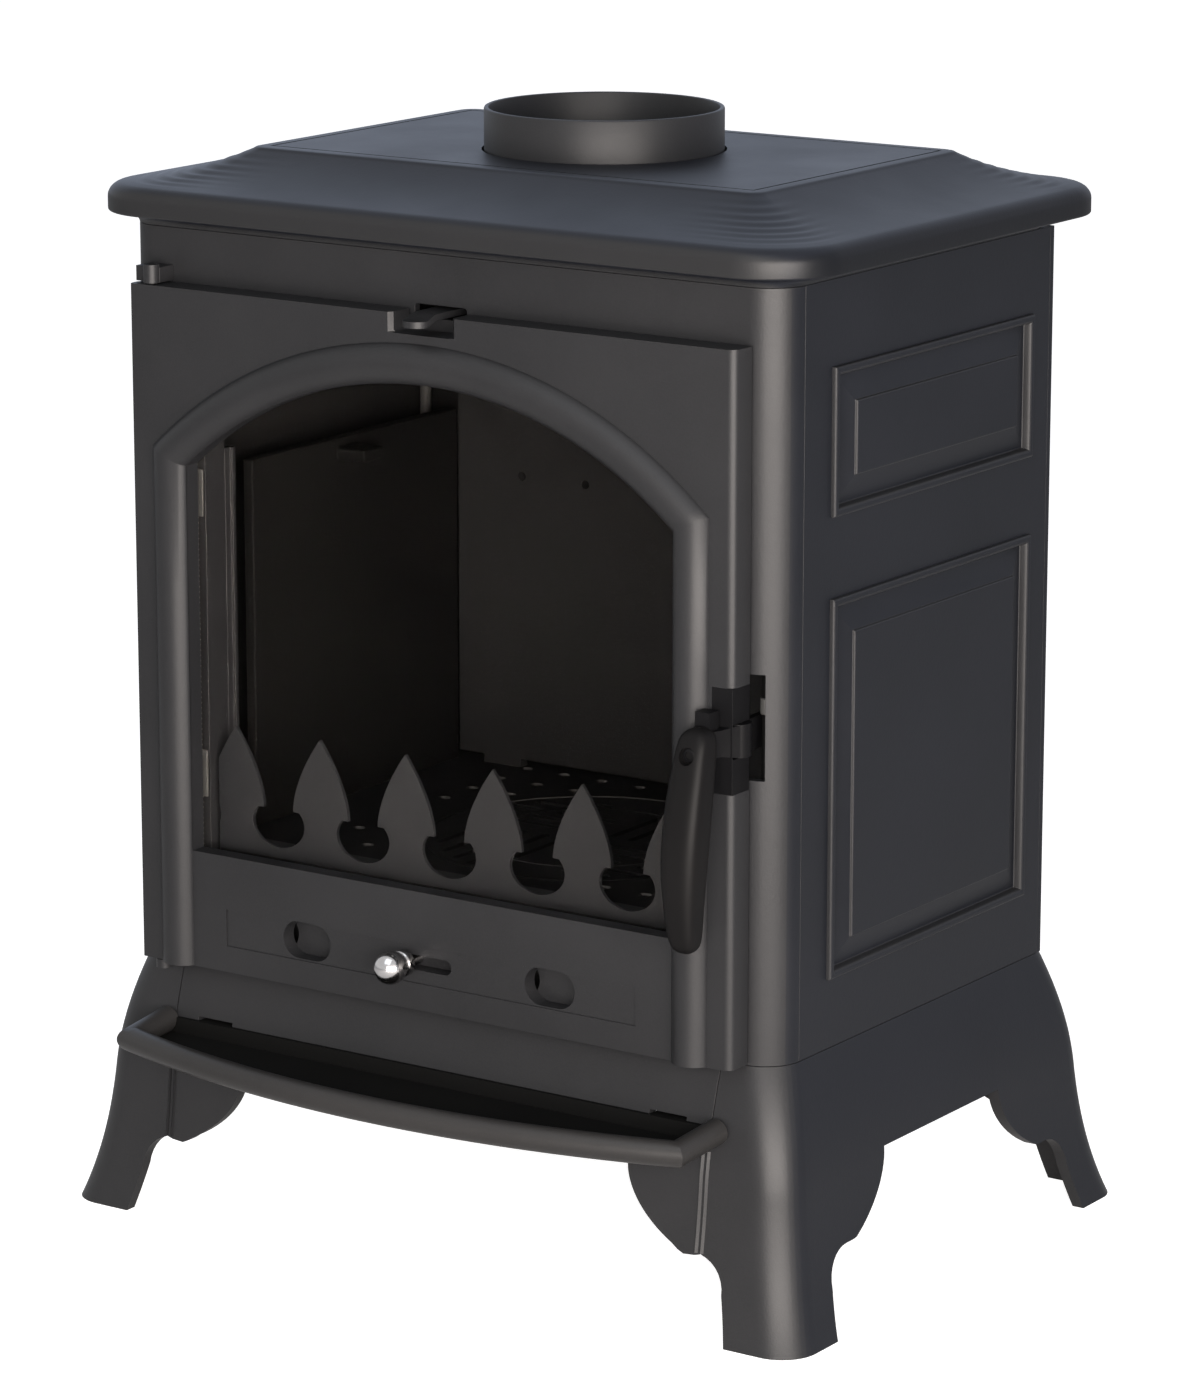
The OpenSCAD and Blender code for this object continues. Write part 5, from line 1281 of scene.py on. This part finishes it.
def fireboxFloor():
    f = floorPlate
    top, low, cy = f["top"], f["top"] - f["thick"], f["centreY"]
    plateBlock = prism("floorPlate", rectangle(-f["half"], f["front"], f["half"], f["back"]), low, top)
    parts = [prism("tongue", rectangle(-f["tongueHalf"], 4, f["tongueHalf"], 25), low + 0.02, top - 0.02)]
    for side in (-1, 1):
        a, b = sorted((side * f["tunnelHalf"], side * (f["tunnelHalf"] + f["tunnelWall"])))
        parts.append(prism("wall", rectangle(a, f["front"] + 0.05, b, f["back"] - 0.05), 166.7, top - 1))
    parts.append(prism("pan", rectangle(-f["tunnelHalf"] - 1, f["front"] + 0.1, f["tunnelHalf"] + 1, f["back"] - 0.1),
                       f["tunnelLow"], f["tunnelLow"] + 4))
    block = fuse("fireboxFloor", plateBlock, *parts)
    r, holes = f["holeRadius"], []
    hole = [(r, low - 1), (r, top - 1.3), (r + 1.6, top + 0.4)]
    for row in range(-4, 5):
        for column in range(-5, 5):
            x, y = (column + 0.5) * f["holePitch"][0], row * f["holePitch"][1]
            if math.hypot(x, y) > f["ringRadius"] + 7:
                holes.append(lathe("hole", hole, (x, cy + y, 0), "z", 16))
    ring = f["ringRadius"]
    groove = turnedRing("groove", [(ring - 1.6, top + 0.5), (ring - 1.6, top - 1.1), (ring + 0.2, top - 1.1),
                                   (ring + 1.2, top + 0.5)], (0, cy, 0))
    cut(block, lathe("seat", [(f["seat"], low + 4), (f["seat"], top + 1)], (0, cy, 0), "z", 96),
        lathe("bore", [(f["bore"], low - 1), (f["bore"], low + 5)], (0, cy, 0), "z", 96),
        join("holes", *holes), groove, grateSlots(f["seat"] + 4, grate["reach"], low - 1, top + 1))
    return block


finishPiece(fireboxFloor(), ironFloor, "root", "firebox_floor", smooth=25, slot="raw_iron")
z1 = floorPlate["top"] - 0.05
disc = lathe("roundGrate", [(grate["radius"], z1 - 3.9), (grate["radius"], z1 - 0.5), (grate["radius"] - 0.5, z1)],
             (0, floorPlate["centreY"], 0), "z", 96)
cut(disc, grateSlots(0, grate["radius"] - 4, z1 - 6, z1 + 1))
finishPiece(disc, ironFloor, "root", "round_grate", smooth=25, slot="raw_iron")
print("floor and grate ready")

# side liners with the hooks that hold them
liner = {"plate": ((192, 61, 200, 283.7), (240, 480)), "hook": ((170, 150, 193, 172), (466, 474)),
         "tie": ((199, 150, 238, 172), (464, 470)), "edge": 1.4}
for name, side, node in (("linerRight", 1, "liner_right"), ("linerLeft", -1, "liner_left")):
    lining = fuse(name, *[prism("part", rectangle(*liner[key][0]), *liner[key][1]) for key in ("plate", "hook", "tie")])
    if side < 0:
        mirrorX(lining)
    finishPiece(lining, ironShade, "root", node, edge=liner["edge"], slot="raw_iron")
print("liners ready")

# ash shelf
shelf = {"reach": 94, "halfWidth": 209, "rim": 8, "height": 123, "bow": 33, "tray": 4, "ledge": 3,
         "hooks": (160, 185, 126, 129), "endRise": 4, "edge": 0.8}


def shelfBow():           # front of the rolled rim, from its left to its right corner
    half, y0 = shelf["halfWidth"] - 2.2, shelf["rim"] - shelf["reach"]
    radius = (half ** 2 + shelf["bow"] ** 2) / 2 / shelf["bow"]
    spread = math.asin(half / radius)
    angles = [-spread + 2 * spread * i / 80 for i in range(81)]
    return [Vector((radius * math.sin(a), y0 + radius * (1 - math.cos(a)), shelf["height"])) for a in angles]


def sweepRound(name, path, radius, around=32):
    rings = []
    for i, p in enumerate(path):
        before = (p - path[i - 1] if i else path[1] - p).normalized()
        after = (path[i + 1] - p if i < len(path) - 1 else p - path[i - 1]).normalized()
        along = (before + after).normalized()
        side = along.cross(Vector((0, 0, 1))).normalized()
        up = side.cross(along)
        wide = radius / along.dot(after)          # longer across a mitre
        rings.append([tuple(p + side * (wide * math.cos(2 * math.pi * j / around))
                            + up * (radius * math.sin(2 * math.pi * j / around))) for j in range(around)])
    return skinned(name, rings)


front = shelfBow()
endZ = shelf["height"] + shelf["endRise"]
ends = [Vector((s * shelf["halfWidth"], -flare(endZ) - 1.2, endZ)) for s in (-1, 1)]
rim = sweepRound("rim", [ends[0]] + front + [ends[1]], shelf["rim"])
bowHalf = shelf["halfWidth"] - 5
trayLow = shelf["height"] - 7
trayBack = -flare(trayLow) - 0.3
trayFront = [(p.x, p.y + 2) for p in front if abs(p.x) < bowHalf]
tray = prism("tray", trayFront + [(bowHalf, trayBack), (-bowHalf, trayBack)], trayLow, trayLow + shelf["tray"])
ledgeRows = [trayLow + 13 * i / 6 for i in range(7)]
profile = [(-flare(z) - 0.3, z) for z in ledgeRows]
profile += [(y - shelf["ledge"], z) for y, z in reversed(profile)]
ledge = sideSlab("ledge", profile, -bowHalf, bowHalf)
x0, x1, z0, z1 = shelf["hooks"]
hooks = [prism("hook", rectangle(a, -flare(z1) - 2.8, b, 1), z0, z1 - 0.1) for a, b in ((-x1, -x0), (x0, x1))]
fuse("ashShelf", tray, ledge, *hooks)
finishPiece(tray, ironShade, "root", "ash_shelf", edge=shelf["edge"], angle=40, slot="casting_top")
# painted highlight: the rim gets a lighter copy of the body paint for its lit front
finishPiece(rim, ironRim, "root", edge=shelf["edge"], angle=40, slot="casting_top")
print("ash shelf ready")

# stage
view = {"lens": 92.55, "place": (1.8805, -2.7327, 1.1218), "tilt": 76.65, "turn": 34.25, "far": 60}
camera = newObject("camera", bpy.data.cameras.new("camera"))
camera.data.sensor_fit = "VERTICAL"
camera.data.sensor_height = 24
camera.data.lens = view["lens"]
camera.data.clip_end = view["far"]
camera.location = view["place"]
camera.rotation_euler = (math.radians(view["tilt"]), 0, math.radians(view["turn"]))
scene.camera = camera

studio = {     # name: (bearing from the front, height, distance, width, tallness, power, colour)
    "warmCorner": (43, 0.58, 2.7, 2.8, 1.3, 268, (1.0, 0.925, 0.87)),
    "softAbove": (10, 2.4, 1.6, 1.8, 1.8, 20, (0.86, 0.93, 1.0)),
}
for name, (bearing, height, distance, width, tallness, power, colour) in studio.items():
    light = bpy.data.lights.new(name, "AREA")
    light.shape, light.size, light.size_y = "RECTANGLE", width, tallness
    light.energy, light.color = power, colour
    lamp = newObject(name, light)
    a = math.radians(bearing)
    lamp.location = Vector((distance * math.sin(a), -distance * math.cos(a), height))
    lamp.rotation_euler = (Vector((0, 0, 0.38)) - lamp.location).to_track_quat("-Z", "Y").to_euler()
    lamp.visible_camera = False


# rays that see the bright studio: 1 for camera and glass rays; mirror rays apart
def seenRays(tree):
    path = addNode(tree, "ShaderNodeLightPath").outputs
    return mathNode(tree, "MAXIMUM", path["Is Camera Ray"], path["Is Transmission Ray"]), path["Is Glossy Ray"]


world = bpy.data.worlds.new("studio")
scene.world = world
world.use_nodes = True
tree = world.node_tree
spot = axesOf(tree, addNode(tree, "ShaderNodeTexCoord").outputs["Generated"])
rearRight = mathNode(tree, "MULTIPLY_ADD", spot["X"], 0.67, spot["Y"])
# the room is cooler behind and dim at the rear right
room = mixColour(tree, remap(tree, spot["Y"], -0.1, 0.7), (1, 1, 1), (0.84, 0.95, 1.18))
room = mixColour(tree, remap(tree, rearRight, 0.35, 1.1), room, (0.66, 0.68, 0.76))
seen, glossy = seenRays(tree)
feed(tree, tree.nodes["Background"], {
    "Color": mixColour(tree, seen, room, (1, 1, 1)),
    "Strength": remap(tree, mathNode(tree, "MAXIMUM", seen, glossy), 0.0, 1.0, 0.28, 1.0)})

floorMaterial, tree, shader = newMaterial("paleFloor")
seen, glossy = seenRays(tree)
glow = mathNode(tree, "MAXIMUM", mathNode(tree, "MULTIPLY", glossy, 0.15), seen)
feed(tree, shader, {"Base Color": (0.7, 0.7, 0.7, 1), "Roughness": 0.9, "Specular IOR Level": 0.1,
                    "Emission Color": (1, 1, 1, 1), "Emission Strength": mathNode(tree, "MULTIPLY", glow, 0.85)})
floorMesh = bpy.data.meshes.new("floor")
floorMesh.from_pydata([(x, y, -0.0005) for x, y in rectangle(-40, -40, 40, 40)], [], [(0, 1, 2, 3)])
floorMesh.materials.append(floorMaterial)
newObject("floor", floorMesh)

scene.view_settings.view_transform = "Standard"
print("scene ready")
